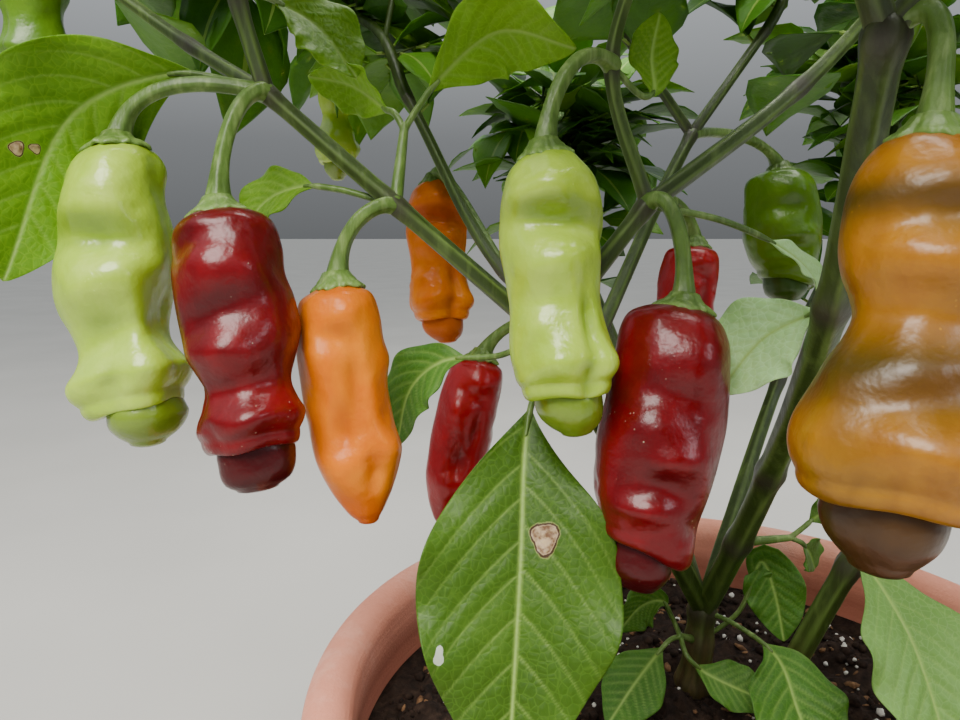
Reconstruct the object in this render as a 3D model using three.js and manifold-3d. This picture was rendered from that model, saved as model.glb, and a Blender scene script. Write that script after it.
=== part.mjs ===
// A chilli pepper plant in a round terracotta pot, at its real size.
// Millimetres, +Z up. The origin is under the middle of the pot, on the surface that it stands on.
// The plant's open side, where the front pods hang, faces -Y, with +X to the right.
import * as THREE from 'three';
import Module from 'manifold-3d';
import { mergeVertices } from 'three/addons/utils/BufferGeometryUtils.js';

const wasm = await Module();
wasm.setup();

const at = (x, y, z) => new THREE.Vector3(x, y, z);
const skyward = at(0, 0, 1);
const gap = 0.3; // left between two pieces that touch
const finest = 0.02; // corners nearer than this become one

// Driving sizes
const pot = {
  height: 285, rimRadius: 195, rimThick: 23, rimDeep: 31, shoulderRadius: 186, footRadius: 166,
  wall: 13, floor: 15, footRound: 16, groovesUnderRim: [58, 34], grooveDepth: 2.2, grooveWidth: 5, sides: 36,
};
const soil = { level: 247, flatRadius: 95, edgeDrop: 5 };
const crown = { centre: at(-5, 8, 575), radii: at(305, 275, 207) };
const openSide = { // the space before the front pods, which widens from a point and is free of foliage
  point: at(-113, -314, 488), dip: THREE.MathUtils.degToRad(10), depth: 288, across: 0.72, upward: 0.55,
};
const clearance = { ballSpacing: 8, stalk: 6, petiole: 4, bladeBase: 0.42, bladeTip: 0.36, nearBough: 24 };
const limbShape = { sides: 6, step: 40, knuckle: 0.22, knuckleLength: 9, flare: 0.55, flareLength: 22 };
const podShape = {
  sides: 7, stalkSides: 4, stalkSteps: 3, stalkRadius: 2.7, stalkHook: 18, stalkSunk: 3, calyx: 0.27,
  calyxFrom: 0.62,
};
const growth = { // the rule by which each mass of foliage grows from its bough
  orders: 4, shoot: 40, shootVaries: [0.85, 1.15], shorter: 0.86, stout: 1.3, thinner: 0.84,
  forkSpread: 0.6, spreadVaries: [0.8, 1.15], forkSunk: 4, forkShare: 0.5, forkTurn: 0.5,
  aiming: 0.26, lift: 0.06, tries: 5, turnAside: 0.8,
  forkLeaves: 2, endLeaves: 4, endLeafForward: 0.9, leafForward: [0.25, 0.3], leafDip: 0.12, leafSpacing: 4.5,
  leavesApart: 9, twigsApart: 6, leafRoom: 7, twigRoom: 3, spaceGap: 0.8,
};
const crownLeaf = {
  length: 90, varies: [0.84, 1.1], width: 0.52, thick: 1, petiole: [0.8, 0.6], petioleShare: 0.2,
  widestAt: 0.56, tipAt: 0.97, upturned: 0.12, droop: 0.18,
};
const singleLeaf = {
  stalkRadius: 1.3, steps: 8, thickness: 0.014, leastThick: 1, cupping: 0.16, twigRadius: [2.6, 2],
};
const fruit = { length: 62, radius: 13, aside: 14, stalk: 24, stalkRadius: 1.2, stalkSunk: 3, sides: 5 };

// Where the stems and boughs start, bend, fork and end
const place = {
  foot: at(4, 41, soil.level + gap), midStem: at(5, 41, 272), lowFork: at(6, 42, 290),
  rightLow: at(12, 15, 340), rightBend: at(14, -12, 384), rightRise: at(0, -83, 465),
  rightFork: at(-13, -125, 536), rightLeftEnd: at(-44, -136, 592), rightOuterEnd: at(28, -152, 590),
  frontBend: at(-36, 6, 366), frontFork: at(-88, -41, 450),
  leftNode: at(-144, -44, 498), leftFork: at(-189, -46, 537),
  leftUpNode: at(-197, -47, 568), leftUpEnd: at(-201, -50, 596),
  leftOutBend: at(-220, -31, 556), leftOutEnd: at(-260, -6, 584),
  centreFork: at(-52, -46, 498), centreNode: at(-65, -37, 548), centreUpEnd: at(-54, -41, 592),
  sideNode: at(8, -26, 542), sideEnd: at(60, 4, 590),
  secondFoot: at(38, 24, soil.level + gap), secondBend: at(64, 9, 331), secondFork: at(106, -6, 430),
  farRightEnd: at(164, -62, 500), rightBackEnd: at(174, 48, 506),
  rearFork: at(-56, 28, 440), rearLeftNode: at(-100, 48, 468), rearLeftEnd: at(-152, 92, 560),
  rearMidNode: at(-20, 68, 506), rearMidFork: at(0, 86, 540), rearTopEnd: at(42, 102, 596),
  rearInnerEnd: at(-36, 98, 594),
  rearRightBend: at(64, 104, 402), rearRightEnd: at(128, 162, 492),
  rearLowBend: at(-14, 112, 380), rearLowEnd: at(-42, 172, 464),
};

// Stems and boughs: the places that each runs through, and its radius at its two ends
const limbs = [
  { name: 'main_stem', through: ['foot', 'midStem', 'lowFork'], radius: [7.2, 6.6], flared: true },
  { name: 'second_stem', through: ['secondFoot', 'secondBend', 'secondFork'], radius: [5.8, 4.8],
    flared: true },
  { name: 'bough_right', through: ['lowFork', 'rightLow', 'rightBend', 'rightRise', 'rightFork'],
    radius: [5.9, 4.9] },
  { name: 'bough_front', through: ['lowFork', 'frontBend', 'frontFork'], radius: [5.2, 3.9] },
  { name: 'bough_rear', through: ['lowFork', 'rearFork'], radius: [4.9, 4.0] },
  { name: 'bough_rear_right', through: ['lowFork', 'rearRightBend', 'rearRightEnd'], radius: [4.4, 2.9] },
  { name: 'bough_rear_low', through: ['lowFork', 'rearLowBend', 'rearLowEnd'], radius: [4.2, 2.8] },
  { name: 'bough_right_inner', through: ['rightFork', 'rightLeftEnd'], radius: [3.9, 2.9] },
  { name: 'bough_right_outer', through: ['rightFork', 'rightOuterEnd'], radius: [3.7, 2.9] },
  { name: 'bough_left', through: ['frontFork', 'leftNode', 'leftFork'], radius: [3.5, 3.0] },
  { name: 'bough_left_up', through: ['leftFork', 'leftUpNode', 'leftUpEnd'], radius: [3.1, 2.6] },
  { name: 'bough_left_out', through: ['leftFork', 'leftOutBend', 'leftOutEnd'], radius: [2.6, 2.2] },
  { name: 'bough_centre', through: ['frontFork', 'centreFork'], radius: [3.7, 3.3] },
  { name: 'bough_centre_up', through: ['centreFork', 'centreNode', 'centreUpEnd'], radius: [2.8, 2.2] },
  { name: 'bough_centre_side', through: ['centreFork', 'sideNode', 'sideEnd'], radius: [3.4, 2.6] },
  { name: 'bough_far_right', through: ['secondFork', 'farRightEnd'], radius: [4.0, 2.9] },
  { name: 'bough_right_back', through: ['secondFork', 'rightBackEnd'], radius: [4.0, 2.9] },
  { name: 'bough_rear_left', through: ['rearFork', 'rearLeftNode', 'rearLeftEnd'], radius: [3.4, 2.7] },
  { name: 'bough_rear_mid', through: ['rearFork', 'rearMidNode', 'rearMidFork'], radius: [3.5, 3.1] },
  { name: 'bough_rear_top', through: ['rearMidFork', 'rearTopEnd'], radius: [2.9, 2.4] },
  { name: 'bough_rear_inner', through: ['rearMidFork', 'rearInnerEnd'], radius: [2.8, 2.3] },
];

// Pods that hang from the boughs: outline as [share of the length, share of half the girth]
const outline = {
  capped: [[0, 0.5], [0.05, 0.76], [0.3, 1], [0.5, 0.93], [0.66, 0.84], [0.8, 0.98], [0.87, 0.84],
    [0.9, 0.56], [1, 0.16]],
  tapered: [[0, 0.52], [0.05, 0.8], [0.3, 1], [0.55, 1], [0.75, 0.92], [0.9, 0.55], [1, 0.12]],
  waisted: [[0, 0.5], [0.05, 0.8], [0.3, 1], [0.5, 0.85], [0.64, 0.78], [0.8, 1], [0.87, 0.84], [0.9, 0.6],
    [1, 0.16]],
  small: [[0, 0.6], [0.14, 0.95], [0.5, 1], [0.8, 0.85], [1, 0.2]],
};
const colour = { pale: '#b9c95a', red: '#a5121c', orange: '#e5811b', green: '#4f7d20' };
const pods = [
  { name: 'pod_pale_left', from: 'leftFork', out: at(-34, -2, 8), top: at(-242, -48, 518),
    tip: at(-231, -67, 413), girth: 39, shape: 'capped', colour: 'pale' },
  { name: 'pod_red_left', from: 'leftFork', out: at(-6, -12, 2), top: at(-201, -66, 495),
    tip: at(-188, -82, 402), girth: 41, shape: 'waisted', colour: 'red' },
  { name: 'pod_orange_left', from: 'leftNode', out: at(-9, -9, 2), top: at(-165, -50, 469),
    tip: at(-153, -64, 383), girth: 33, shape: 'tapered', colour: 'orange' },
  { name: 'pod_pale_centre', from: 'centreNode', out: at(-14, -14, 10), top: at(-91, -62, 514),
    tip: at(-80, -78, 420), girth: 38, shape: 'capped', colour: 'pale' },
  { name: 'pod_red_centre', from: 'centreFork', out: at(6, -12, 10), top: at(-41, -59, 462),
    tip: at(-57, -76, 363), girth: 43, shape: 'capped', colour: 'red' },
  { name: 'pod_orange_right', from: 'rightFork', out: at(12, -9, 14), top: at(-9, -142, 509),
    tip: at(-21, -159, 410), girth: 42, shape: 'waisted', colour: 'orange' },
  { name: 'pod_orange_back', from: 'rearLeftNode', out: at(-24, 22, 42), top: at(-138, 102, 516),
    tip: at(-131, 86, 427), girth: 37, shape: 'tapered', colour: 'orange' },
  { name: 'pod_red_back', from: 'rearFork', out: at(-22, 22, 16), top: at(-112, 66, 422),
    tip: at(-131, 49, 332), girth: 35, shape: 'tapered', colour: 'red' },
  { name: 'pod_red_rear', from: 'rearMidNode', out: at(10, 12, 2), top: at(6, 91, 481),
    tip: at(0, 80, 405), girth: 34, shape: 'tapered', colour: 'red' },
  { name: 'pod_green_rear', from: 'rearMidFork', out: at(22, 14, 6), top: at(64, 124, 524),
    tip: at(70, 112, 448), girth: 39, shape: 'waisted', colour: 'green' },
];

// Single leaves and small sprigs: a leaf runs from its node by a knee to the three points of its blade
const sprigs = [
  { name: 'leaf_front', from: 'frontFork', leaves: [
    { knee: at(-91, -46, 434), blade: [at(-96, -58, 416), at(-99, -80, 374), at(-104, -106, 308)],
      width: 66, facing: at(0, -1, 0.25) }] },
  { name: 'leaf_under_front', from: 'frontFork', leaves: [
    { knee: at(-105, -31, 440), blade: [at(-129, -23, 436), at(-142, -21, 424), at(-148, -24, 400)],
      width: 30, facing: at(-0.5, -0.7, 0.6) }] },
  { name: 'leaf_left', from: 'leftFork', leaves: [
    { knee: at(-204, -42, 542), blade: [at(-224, -43, 544), at(-256, -50, 529), at(-274, -70, 472)],
      width: 54, facing: at(0.35, -1, -0.5) }] },
  { name: 'leaf_left_top', from: 'leftUpNode', leaves: [
    { knee: at(-191, -40, 571), blade: [at(-184, -37, 569), at(-172, -35, 562), at(-158, -36, 544)],
      width: 28, facing: at(0.4, -0.8, 0.5) }] },
  { name: 'leaf_left_under', from: 'leftNode', leaves: [
    { knee: at(-166, -40, 504), blade: [at(-182, -36, 505), at(-196, -33, 499), at(-206, -33, 484)],
      width: 26, facing: at(-0.3, -0.7, 0.6) }] },
  { name: 'sprig_left', from: 'leftNode', twig: at(-141, -36, 527), leaves: [
    { knee: at(-135, -32, 536), blade: [at(-130, -29, 543), at(-106, -28, 562), at(-78, -36, 554)],
      width: 33, facing: at(0.1, -0.75, -0.65) },
    { knee: at(-145, -34, 532), blade: [at(-149, -31, 534), at(-162, -26, 543), at(-178, -28, 546)],
      width: 22, facing: at(0.1, -0.8, -0.5) }] },
  { name: 'leaf_centre', from: 'centreNode', leaves: [
    { knee: at(-52, -33, 538), blade: [at(-48, -31, 540), at(-48, -26, 554), at(-45, -24, 570)],
      width: 20, facing: at(0, -1, 0.1) }] },
  { name: 'leaf_side', from: 'centreFork', leaves: [
    { knee: at(-20, -38, 492), blade: [at(12, -28, 478), at(22, -28, 466), at(29, -31, 450)],
      width: 20, facing: at(0.7, -0.5, 0.6) }] },
  { name: 'leaf_right', from: 'rightRise', leaves: [
    { knee: at(4, -70, 462), blade: [at(2, -64, 460), at(-11, -58, 451), at(-27, -58, 430)],
      width: 34, facing: at(-0.5, -0.8, 0.35) }] },
  { name: 'leaf_corner', from: 'secondBend', leaves: [
    { knee: at(64, 0, 340), blade: [at(62, -10, 340), at(70, -34, 318), at(76, -66, 270)],
      width: 56, facing: at(-0.1, -0.8, 0.6) }] },
  { name: 'leaf_foot', from: 'lowFork', leaves: [
    { knee: at(20, 26, 289), blade: [at(32, 6, 284), at(34, -18, 269), at(38, -42, 256)],
      width: 44, facing: at(0, -0.4, 1) }] },
  { name: 'leaf_low', from: 'midStem', leaves: [
    { knee: at(24, 38, 291), blade: [at(36, 42, 317), at(42, 37, 301), at(45, 29, 279)],
      width: 30, facing: at(0, -0.9, 0.4) }] },
  { name: 'sprig_low', from: 'midStem', twig: at(-9, 31, 281), leaves: [
    { knee: at(-13, 34, 291), blade: [at(-18, 34, 299), at(-29, 31, 298), at(-42, 25, 287)],
      width: 26, facing: at(-0.2, -0.9, 0.4) },
    { knee: at(-15, 27, 281), blade: [at(-22, 23, 276), at(-36, 12, 266), at(-52, -4, 255)],
      width: 30, facing: at(-0.1, -0.8, 0.6) },
    { knee: at(-7, 22, 275), blade: [at(0, 19, 269), at(15, 12, 264), at(32, 5, 260)],
      width: 24, facing: at(0, -0.6, 0.8) }] },
  { name: 'sprig_right', from: 'rightLow', twig: at(38, 14, 343), leaves: [
    { knee: at(43, 13, 349), blade: [at(47, 13, 353), at(53, 12, 358), at(60, 12, 364)],
      width: 14, facing: at(0, -1, 0.2) },
    { knee: at(43, 15, 340), blade: [at(46, 16, 337), at(50, 19, 332), at(54, 21, 323)],
      width: 18, facing: at(0, -0.8, 0.6) }] },
];

// Masses of foliage: the bough that each grows on from, the middle of the space it keeps to, and its own seed
const masses = [
  { name: 'foliage_left_top', bough: 'bough_left_up', centre: at(-186, -74, 676), seed: 74, fruits: 1 },
  { name: 'foliage_left', bough: 'bough_left_out', centre: at(-236, 44, 626), seed: 60, fruits: 1 },
  { name: 'foliage_front_top', bough: 'bough_centre_up', centre: at(-62, -52, 692), seed: 16, fruits: 0 },
  { name: 'foliage_centre', bough: 'bough_centre_side', centre: at(82, 12, 688), seed: 33, fruits: 1 },
  { name: 'foliage_front', bough: 'bough_right_inner', centre: at(-56, -166, 656), seed: 31, fruits: 1 },
  { name: 'foliage_front_right', bough: 'bough_right_outer', centre: at(72, -148, 628), seed: 14, fruits: 1 },
  { name: 'foliage_right_front', bough: 'bough_far_right', centre: at(200, -92, 552), seed: 32, fruits: 2 },
  { name: 'foliage_right', bough: 'bough_right_back', centre: at(222, 62, 574), seed: 5, fruits: 2 },
  { name: 'foliage_rear_left', bough: 'bough_rear_left', centre: at(-166, 132, 638), seed: 71, fruits: 1 },
  { name: 'foliage_rear_top', bough: 'bough_rear_top', centre: at(52, 128, 700), seed: 31, fruits: 1 },
  { name: 'foliage_rear_inner', bough: 'bough_rear_inner', centre: at(-62, 84, 710), seed: 68, fruits: 0 },
  { name: 'foliage_rear_right', bough: 'bough_rear_right', centre: at(152, 186, 576), seed: 73, fruits: 2 },
  { name: 'foliage_rear_low', bough: 'bough_rear_low', centre: at(-52, 214, 548), seed: 38, fruits: 2 },
];

const finish = {
  clay: new THREE.MeshStandardMaterial({ color: '#b26a55', roughness: 0.75 }),
  soil: new THREE.MeshStandardMaterial({ color: '#3b3029', roughness: 0.95 }),
  stem: new THREE.MeshStandardMaterial({ color: '#5c7a35', roughness: 0.55 }),
  leaf: new THREE.MeshStandardMaterial({ color: '#557f2b', roughness: 0.5 }),
};
for (const [name, value] of Object.entries(colour)) {
  finish[name] = new THREE.MeshStandardMaterial({ color: value, roughness: 0.22 });
}

// Solids
function solidOf(geometry) {
  geometry.deleteAttribute('normal');
  geometry.deleteAttribute('uv');
  const merged = mergeVertices(geometry, finest);
  const solid = new wasm.Manifold(new wasm.Mesh({
    numProp: 3,
    vertProperties: merged.attributes.position.array,
    triVerts: new Uint32Array(merged.index.array),
  }));
  if (solid.volume() > 0) return solid;
  const turned = merged.index.array.slice().reverse();
  return new wasm.Manifold(new wasm.Mesh({
    numProp: 3,
    vertProperties: merged.attributes.position.array,
    triVerts: new Uint32Array(turned),
  }));
}

function geometryOf(solid) {
  const { vertProperties, triVerts } = solid.getMesh();
  const geometry = new THREE.BufferGeometry();
  geometry.setAttribute('position', new THREE.BufferAttribute(vertProperties, 3));
  geometry.setIndex(new THREE.BufferAttribute(triVerts, 1));
  return geometry;
}

// The largest body alone: loose scraps go, and hollows that joining has sealed are filled.
function largestBody(solid) {
  const bodies = solid.decompose();
  return bodies.reduce((largest, body) => (body.volume() > largest.volume() ? body : largest));
}

function meshOf(name, solid, material) {
  let whole = largestBody(solid);
  for (let pass = 0; pass < 3; pass += 1) whole = largestBody(solidOf(geometryOf(whole)));
  const geometry = geometryOf(whole);
  geometry.computeVertexNormals();
  const mesh = new THREE.Mesh(geometry, material);
  mesh.name = name;
  return mesh;
}

// Sweeps a closed body along a curve; section(t, x, y) places a point of the unit circle across the curve.
function sweep(curve, sides, steps, section, facing) {
  const body = new THREE.CylinderGeometry(1, 1, 1, sides, steps);
  const corner = body.attributes.position;
  for (let i = 0; i < corner.count; i += 1) {
    const t = corner.getY(i) + 0.5;
    const along = curve.getTangentAt(t);
    const rise = facing.clone().addScaledVector(along, -facing.dot(along)).normalize();
    const across = along.clone().cross(rise);
    const [x, y] = section(t, corner.getX(i), corner.getZ(i));
    const point = curve.getPointAt(t).addScaledVector(across, x).addScaledVector(rise, y);
    corner.setXYZ(i, point.x, point.y, point.z);
  }
  return solidOf(body);
}

// The same three corners, begun at the one that lies best over the last ring's first
function untwisted(ring, last) {
  const orders = [0, 1, 2].map((first) => [...ring.slice(first), ...ring.slice(0, first)]);
  const strain = (order) => order.reduce((sum, corner, i) => sum + corner.distanceTo(last[i]), 0);
  return orders.reduce((best, order) => (strain(order) < strain(best) ? order : best));
}

// A body through three-cornered rings, closed by a flat end or by a tip of one point
function loft(loose) {
  const rings = [loose[0]];
  loose.slice(1).forEach((ring) => rings.push(ring.length === 1 ? ring : untwisted(ring, rings.at(-1))));
  const points = rings.flat();
  const faces = [0, 2, 1];
  rings.slice(1).forEach((ring, i) => {
    const low = 3 * i;
    const high = low + 3;
    for (let side = 0; side < 3; side += 1) {
      const next = (side + 1) % 3;
      if (ring.length === 1) faces.push(low + side, low + next, high);
      else faces.push(low + side, low + next, high + next, low + side, high + next, high + side);
    }
  });
  const last = 3 * (rings.length - 1);
  if (rings.at(-1).length === 3) faces.push(last, last + 1, last + 2);
  const geometry = new THREE.BufferGeometry().setFromPoints(points);
  geometry.setIndex(faces);
  return solidOf(geometry);
}

const mix = (a, b, t) => a + (b - a) * t;

// Pot and soil
function potSolid() {
  const { height, rimRadius, rimThick, rimDeep, shoulderRadius, footRadius, wall, floor, footRound } = pot;
  const outerAt = (z) => mix(footRadius, shoulderRadius, z / (height - rimDeep));
  const round = (x, z, radius, from, to, count) => Array.from({ length: count + 1 }, (_, i) => {
    const turn = THREE.MathUtils.degToRad(mix(from, to, i / count));
    return new THREE.Vector2(x + radius * Math.cos(turn), z + radius * Math.sin(turn));
  });
  const groove = (z) => [
    new THREE.Vector2(outerAt(z - pot.grooveWidth), z - pot.grooveWidth),
    new THREE.Vector2(outerAt(z) - pot.grooveDepth, z),
    new THREE.Vector2(outerAt(z + pot.grooveWidth), z + pot.grooveWidth),
  ];
  const lip = rimThick / 2;
  const profile = [
    new THREE.Vector2(0, 0),
    ...round(outerAt(0) - footRound, footRound, footRound, -90, 0, 2),
    ...pot.groovesUnderRim.flatMap((below) => groove(height - rimDeep - below)),
    new THREE.Vector2(shoulderRadius, height - rimDeep),
    new THREE.Vector2(rimRadius - 1, height - rimDeep),
    ...round(rimRadius - lip, height - lip, lip, 0, 180, 4),
    new THREE.Vector2(shoulderRadius - wall, height - rimDeep),
    new THREE.Vector2(outerAt(floor) - wall, floor),
    new THREE.Vector2(0, floor),
  ];
  return solidOf(new THREE.LatheGeometry(profile, pot.sides).rotateX(Math.PI / 2));
}

function soilSolid() {
  const { footRadius, shoulderRadius } = pot;
  const inner = (z) => mix(footRadius, shoulderRadius, z / (pot.height - pot.rimDeep)) - pot.wall - 2 * gap;
  const edge = soil.level - soil.edgeDrop;
  const profile = [
    new THREE.Vector2(0, pot.floor + gap),
    new THREE.Vector2(inner(pot.floor), pot.floor + gap),
    new THREE.Vector2(inner(edge), edge),
    new THREE.Vector2(soil.flatRadius, soil.level),
    new THREE.Vector2(0, soil.level),
  ];
  return solidOf(new THREE.LatheGeometry(profile, pot.sides).rotateX(Math.PI / 2));
}

// Stems and boughs
for (const limb of limbs) {
  const points = limb.through.map((name) => place[name]);
  limb.curve = new THREE.CatmullRomCurve3(points, false, 'centripetal');
  limb.length = limb.curve.getLength();
}
const limbNamed = (name) => limbs.find((limb) => limb.name === name);

function limbSolid(limb, grow = 0) {
  const ends = limb.through.map((name) => place[name].clone());
  if (!limb.flared) ends[0].addScaledVector(limb.curve.getTangentAt(0), -grow);
  ends.at(-1).addScaledVector(limb.curve.getTangentAt(1), grow);
  const curve = new THREE.CatmullRomCurve3(ends, false, 'centripetal');
  const steps = Math.max(2, Math.round(limb.length / limbShape.step));
  const radiusAt = (t) => {
    const fromEnd = (1 - t) * limb.length;
    const knuckle = 1 + limbShape.knuckle * Math.max(0, 1 - fromEnd / limbShape.knuckleLength);
    const fromFoot = limb.flared ? t * limb.length : limbShape.flareLength;
    const flare = 1 + limbShape.flare * Math.max(0, 1 - fromFoot / limbShape.flareLength);
    return mix(...limb.radius, t) * knuckle * flare + grow;
  };
  const section = (t, x, y) => [x * radiusAt(t), y * radiusAt(t)];
  const body = sweep(curve, limbShape.sides, steps, section, at(1, 0.2, 0));
  return limb.flared ? body.trimByPlane([0, 0, 1], soil.level + gap) : body;
}

// Each later limb is cut clear of the limbs that it meets at a fork.
function limbSolids() {
  const shells = new Map(limbs.map((limb) => [limb.name, limbSolid(limb, gap)]));
  const solids = new Map();
  limbs.forEach((limb, i) => {
    const meets = (other) => other.through.some((name) => limb.through.includes(name));
    const cut = limbs.slice(0, i).filter(meets)
      .reduce((body, other) => body.subtract(shells.get(other.name)), limbSolid(limb));
    solids.set(limb.name, largestBody(cut));
  });
  return { shells, solids };
}

// Pods
function podBody({ top, tip, girth, shape }, sides, grow = 0) {
  const rows = outline[shape];
  const axis = new THREE.LineCurve3(top, tip);
  const along = axis.getTangentAt(0);
  const rise = at(0, -1, 0).addScaledVector(along, along.y).normalize();
  const across = along.clone().cross(rise);
  const body = new THREE.SphereGeometry(1, sides, rows.length + 1);
  const corner = body.attributes.position;
  for (let i = 0; i < corner.count; i += 1) {
    const latitude = Math.acos(THREE.MathUtils.clamp(corner.getY(i), -1, 1)) / Math.PI;
    const row = Math.round(latitude * (rows.length + 1)) - 1;
    const pole = row < 0 || row === rows.length;
    const [share, girthShare] = rows[THREE.MathUtils.clamp(row, 0, rows.length - 1)];
    const turn = Math.atan2(corner.getZ(i), corner.getX(i));
    const radius = pole ? 0 : (girth / 2) * girthShare + grow;
    const point = axis.getPointAt(share).addScaledVector(along, (2 * share - 1) * grow);
    point.addScaledVector(across, radius * Math.cos(turn)).addScaledVector(rise, radius * Math.sin(turn));
    corner.setXYZ(i, point.x, point.y, point.z);
  }
  return solidOf(body);
}

function podWithStalk(pod, grow = 0) {
  const start = place[pod.from];
  const down = pod.tip.clone().sub(pod.top).normalize();
  const stalk = new THREE.CubicBezierCurve3(
    start,
    start.clone().add(pod.out),
    pod.top.clone().addScaledVector(down, -podShape.stalkHook),
    pod.top.clone().addScaledVector(down, podShape.stalkSunk),
  );
  const { sides, stalkSides, stalkSteps, stalkRadius, calyx, calyxFrom } = podShape;
  const widening = pod.girth * calyx - stalkRadius;
  const section = (t, x, y) => {
    const radius = stalkRadius + widening * Math.max(0, (t - calyxFrom) / (1 - calyxFrom)) ** 2 + grow;
    return [x * radius, y * radius];
  };
  return podBody(pod, sides, grow).add(sweep(stalk, stalkSides, stalkSteps, section, at(0.3, -1, 0.1)));
}

// Single leaves and sprigs
// Half a blade's width along its length, as a share of the widest: roundest near its base, and nearly closed
// at its tip
function bladeWidth(u) {
  return Math.sin(Math.PI * Math.min(u, 0.985) ** 0.72);
}

function leafOnStalk(start, { knee, blade, width, facing }, grow = 0) {
  const spine = new THREE.CatmullRomCurve3([start, knee, ...blade], false, 'centripetal');
  const bladeFrom = (start.distanceTo(knee) + knee.distanceTo(blade[0])) / spine.getLength();
  const thick = Math.max(singleLeaf.leastThick, blade[0].distanceTo(blade.at(-1)) * singleLeaf.thickness);
  const section = (t, x, y) => {
    const u = Math.max(0, (t - bladeFrom) / (1 - bladeFrom));
    const half = (width / 2) * bladeWidth(u);
    const stalk = singleLeaf.stalkRadius + grow;
    const cupped = singleLeaf.cupping * Math.abs(x) * half;
    return [x * (stalk + half), cupped + y * mix(stalk, thick / 2 + grow, Math.min(1, u * 4))];
  };
  return sweep(spine, 4, singleLeaf.steps, section, facing);
}

function sprigSolid(sprig, grow = 0) {
  const start = place[sprig.from];
  if (!sprig.twig) return leafOnStalk(start, sprig.leaves[0], grow);
  const ends = [start, sprig.twig].map((point, i) => ({ point, radius: singleLeaf.twigRadius[i] + grow }));
  const inside = sprig.twig.clone().lerp(start, 0.04);
  const leaves = sprig.leaves.map((leaf) => leafOnStalk(inside, leaf, grow));
  return wasm.Manifold.union([twigSolid(ends), ...leaves]);
}

// Foliage
function randomFrom(seed) {
  let state = seed * 7919;
  return () => {
    state = (Math.imul(state, 1664525) + 1013904223) >>> 0;
    return state / 2 ** 32;
  };
}

const obstacles = []; // balls along the limbs, pods and single leaves, which foliage keeps clear of
function addObstacle(owner, curve, radius) {
  const count = Math.ceil(curve.getLength() / clearance.ballSpacing);
  for (let i = 0; i <= count; i += 1) obstacles.push({ owner, point: curve.getPointAt(i / count), radius });
}
const straight = (a, b) => new THREE.LineCurve3(a, b);
limbs.forEach((limb) => addObstacle(limb.name, limb.curve, limb.radius[0]));
pods.forEach((pod) => {
  addObstacle(pod.name, straight(pod.top, pod.tip), pod.girth / 2);
  addObstacle(pod.name, straight(place[pod.from].clone().add(pod.out), pod.top), clearance.stalk);
});
sprigs.forEach((sprig) => sprig.leaves.forEach(({ knee, blade, width }) => {
  addObstacle(sprig.name, straight(knee, blade[0]), clearance.petiole);
  addObstacle(sprig.name, straight(blade[0], blade[1]), width * clearance.bladeBase);
  addObstacle(sprig.name, straight(blade[1], blade[2]), width * clearance.bladeTip);
}));

function insideCrown(point) {
  return point.clone().sub(crown.centre).divide(crown.radii).length() < 1;
}

function onOpenSide(point) {
  const seen = point.clone().sub(openSide.point).applyAxisAngle(at(1, 0, 0), openSide.dip);
  return seen.y < openSide.depth && Math.abs(seen.x) < openSide.across * seen.y
    && Math.abs(seen.z) < openSide.upward * seen.y;
}

// How far a point lies inside the mass's own space, which is nearer to its centre than to any other's
function depthInSpace(point, mass) {
  return Math.min(...masses.filter((other) => other !== mass).map((other) => {
    const apart = other.centre.distanceTo(mass.centre);
    return (point.distanceToSquared(other.centre) - point.distanceToSquared(mass.centre)) / (2 * apart);
  }));
}

function fits(points, mass, thick, room) {
  return points.every((point) => insideCrown(point) && !onOpenSide(point)
    && depthInSpace(point, mass) > thick + growth.spaceGap
    && obstacles.every((one) => one.point.distanceTo(point) > one.radius + room
      || (one.owner === mass.bough && point.distanceTo(mass.start) < clearance.nearBough)));
}

const between = (a, b, count) => Array.from({ length: count }, (_, i) => a.clone().lerp(b, (i + 1) / count));
const turned = (heading, axis, angle) => heading.clone().applyAxisAngle(axis, angle).normalize();

// A leaf grows from a node along its heading, and droops a little towards its tip.
function placeLeaf(node, heading, length) {
  const across = heading.clone().cross(skyward).normalize();
  const face = across.clone().cross(heading).normalize();
  const half = (length * crownLeaf.width) / 2;
  const upturned = half * crownLeaf.upturned;
  const base = node.clone().addScaledVector(heading, length * crownLeaf.petioleShare);
  const middle = node.clone().addScaledVector(heading, length * crownLeaf.widestAt);
  const tip = node.clone().addScaledVector(heading, length * crownLeaf.tipAt);
  tip.addScaledVector(face, -length * crownLeaf.droop);
  const left = middle.clone().addScaledVector(across, half).addScaledVector(face, upturned);
  const right = middle.clone().addScaledVector(across, -half).addScaledVector(face, upturned);
  const keel = middle.clone().addScaledVector(face, -crownLeaf.thick);
  const points = [...between(node, middle, 4).slice(1), ...between(middle, tip, 3),
    ...[left, right].flatMap((side) => [...between(middle, side, 2), ...between(side, tip, 2)])];
  const [rootRadius, endRadius] = crownLeaf.petiole;
  const blade = [triangle(base, across, face, endRadius, 270), [keel, left, right], [tip]];
  return { root: triangle(node, across, face, rootRadius, 270), blade, points };
}

const apart = (ours, theirs, distance) => ours.every((a) => theirs.every((b) => a.distanceTo(b) > distance));

function clearOfGrown(leaf, grown) {
  return grown.leaves.every((other) => apart(leaf.points, other.points, growth.leavesApart))
    && apart(leaf.points, grown.twigPoints, growth.twigsApart);
}

// A mass's first twig meets its bough face to face, and the others start inside their parents.
function newTwig({ from, along, radius, order }) {
  const ring = (ahead, size) => ({ point: from.clone().addScaledVector(along, ahead), radius: size });
  if (order) return [ring(-growth.forkSunk, radius * growth.forkShare)];
  return [ring(gap, radius), ring(growth.forkSunk, radius)];
}

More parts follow.
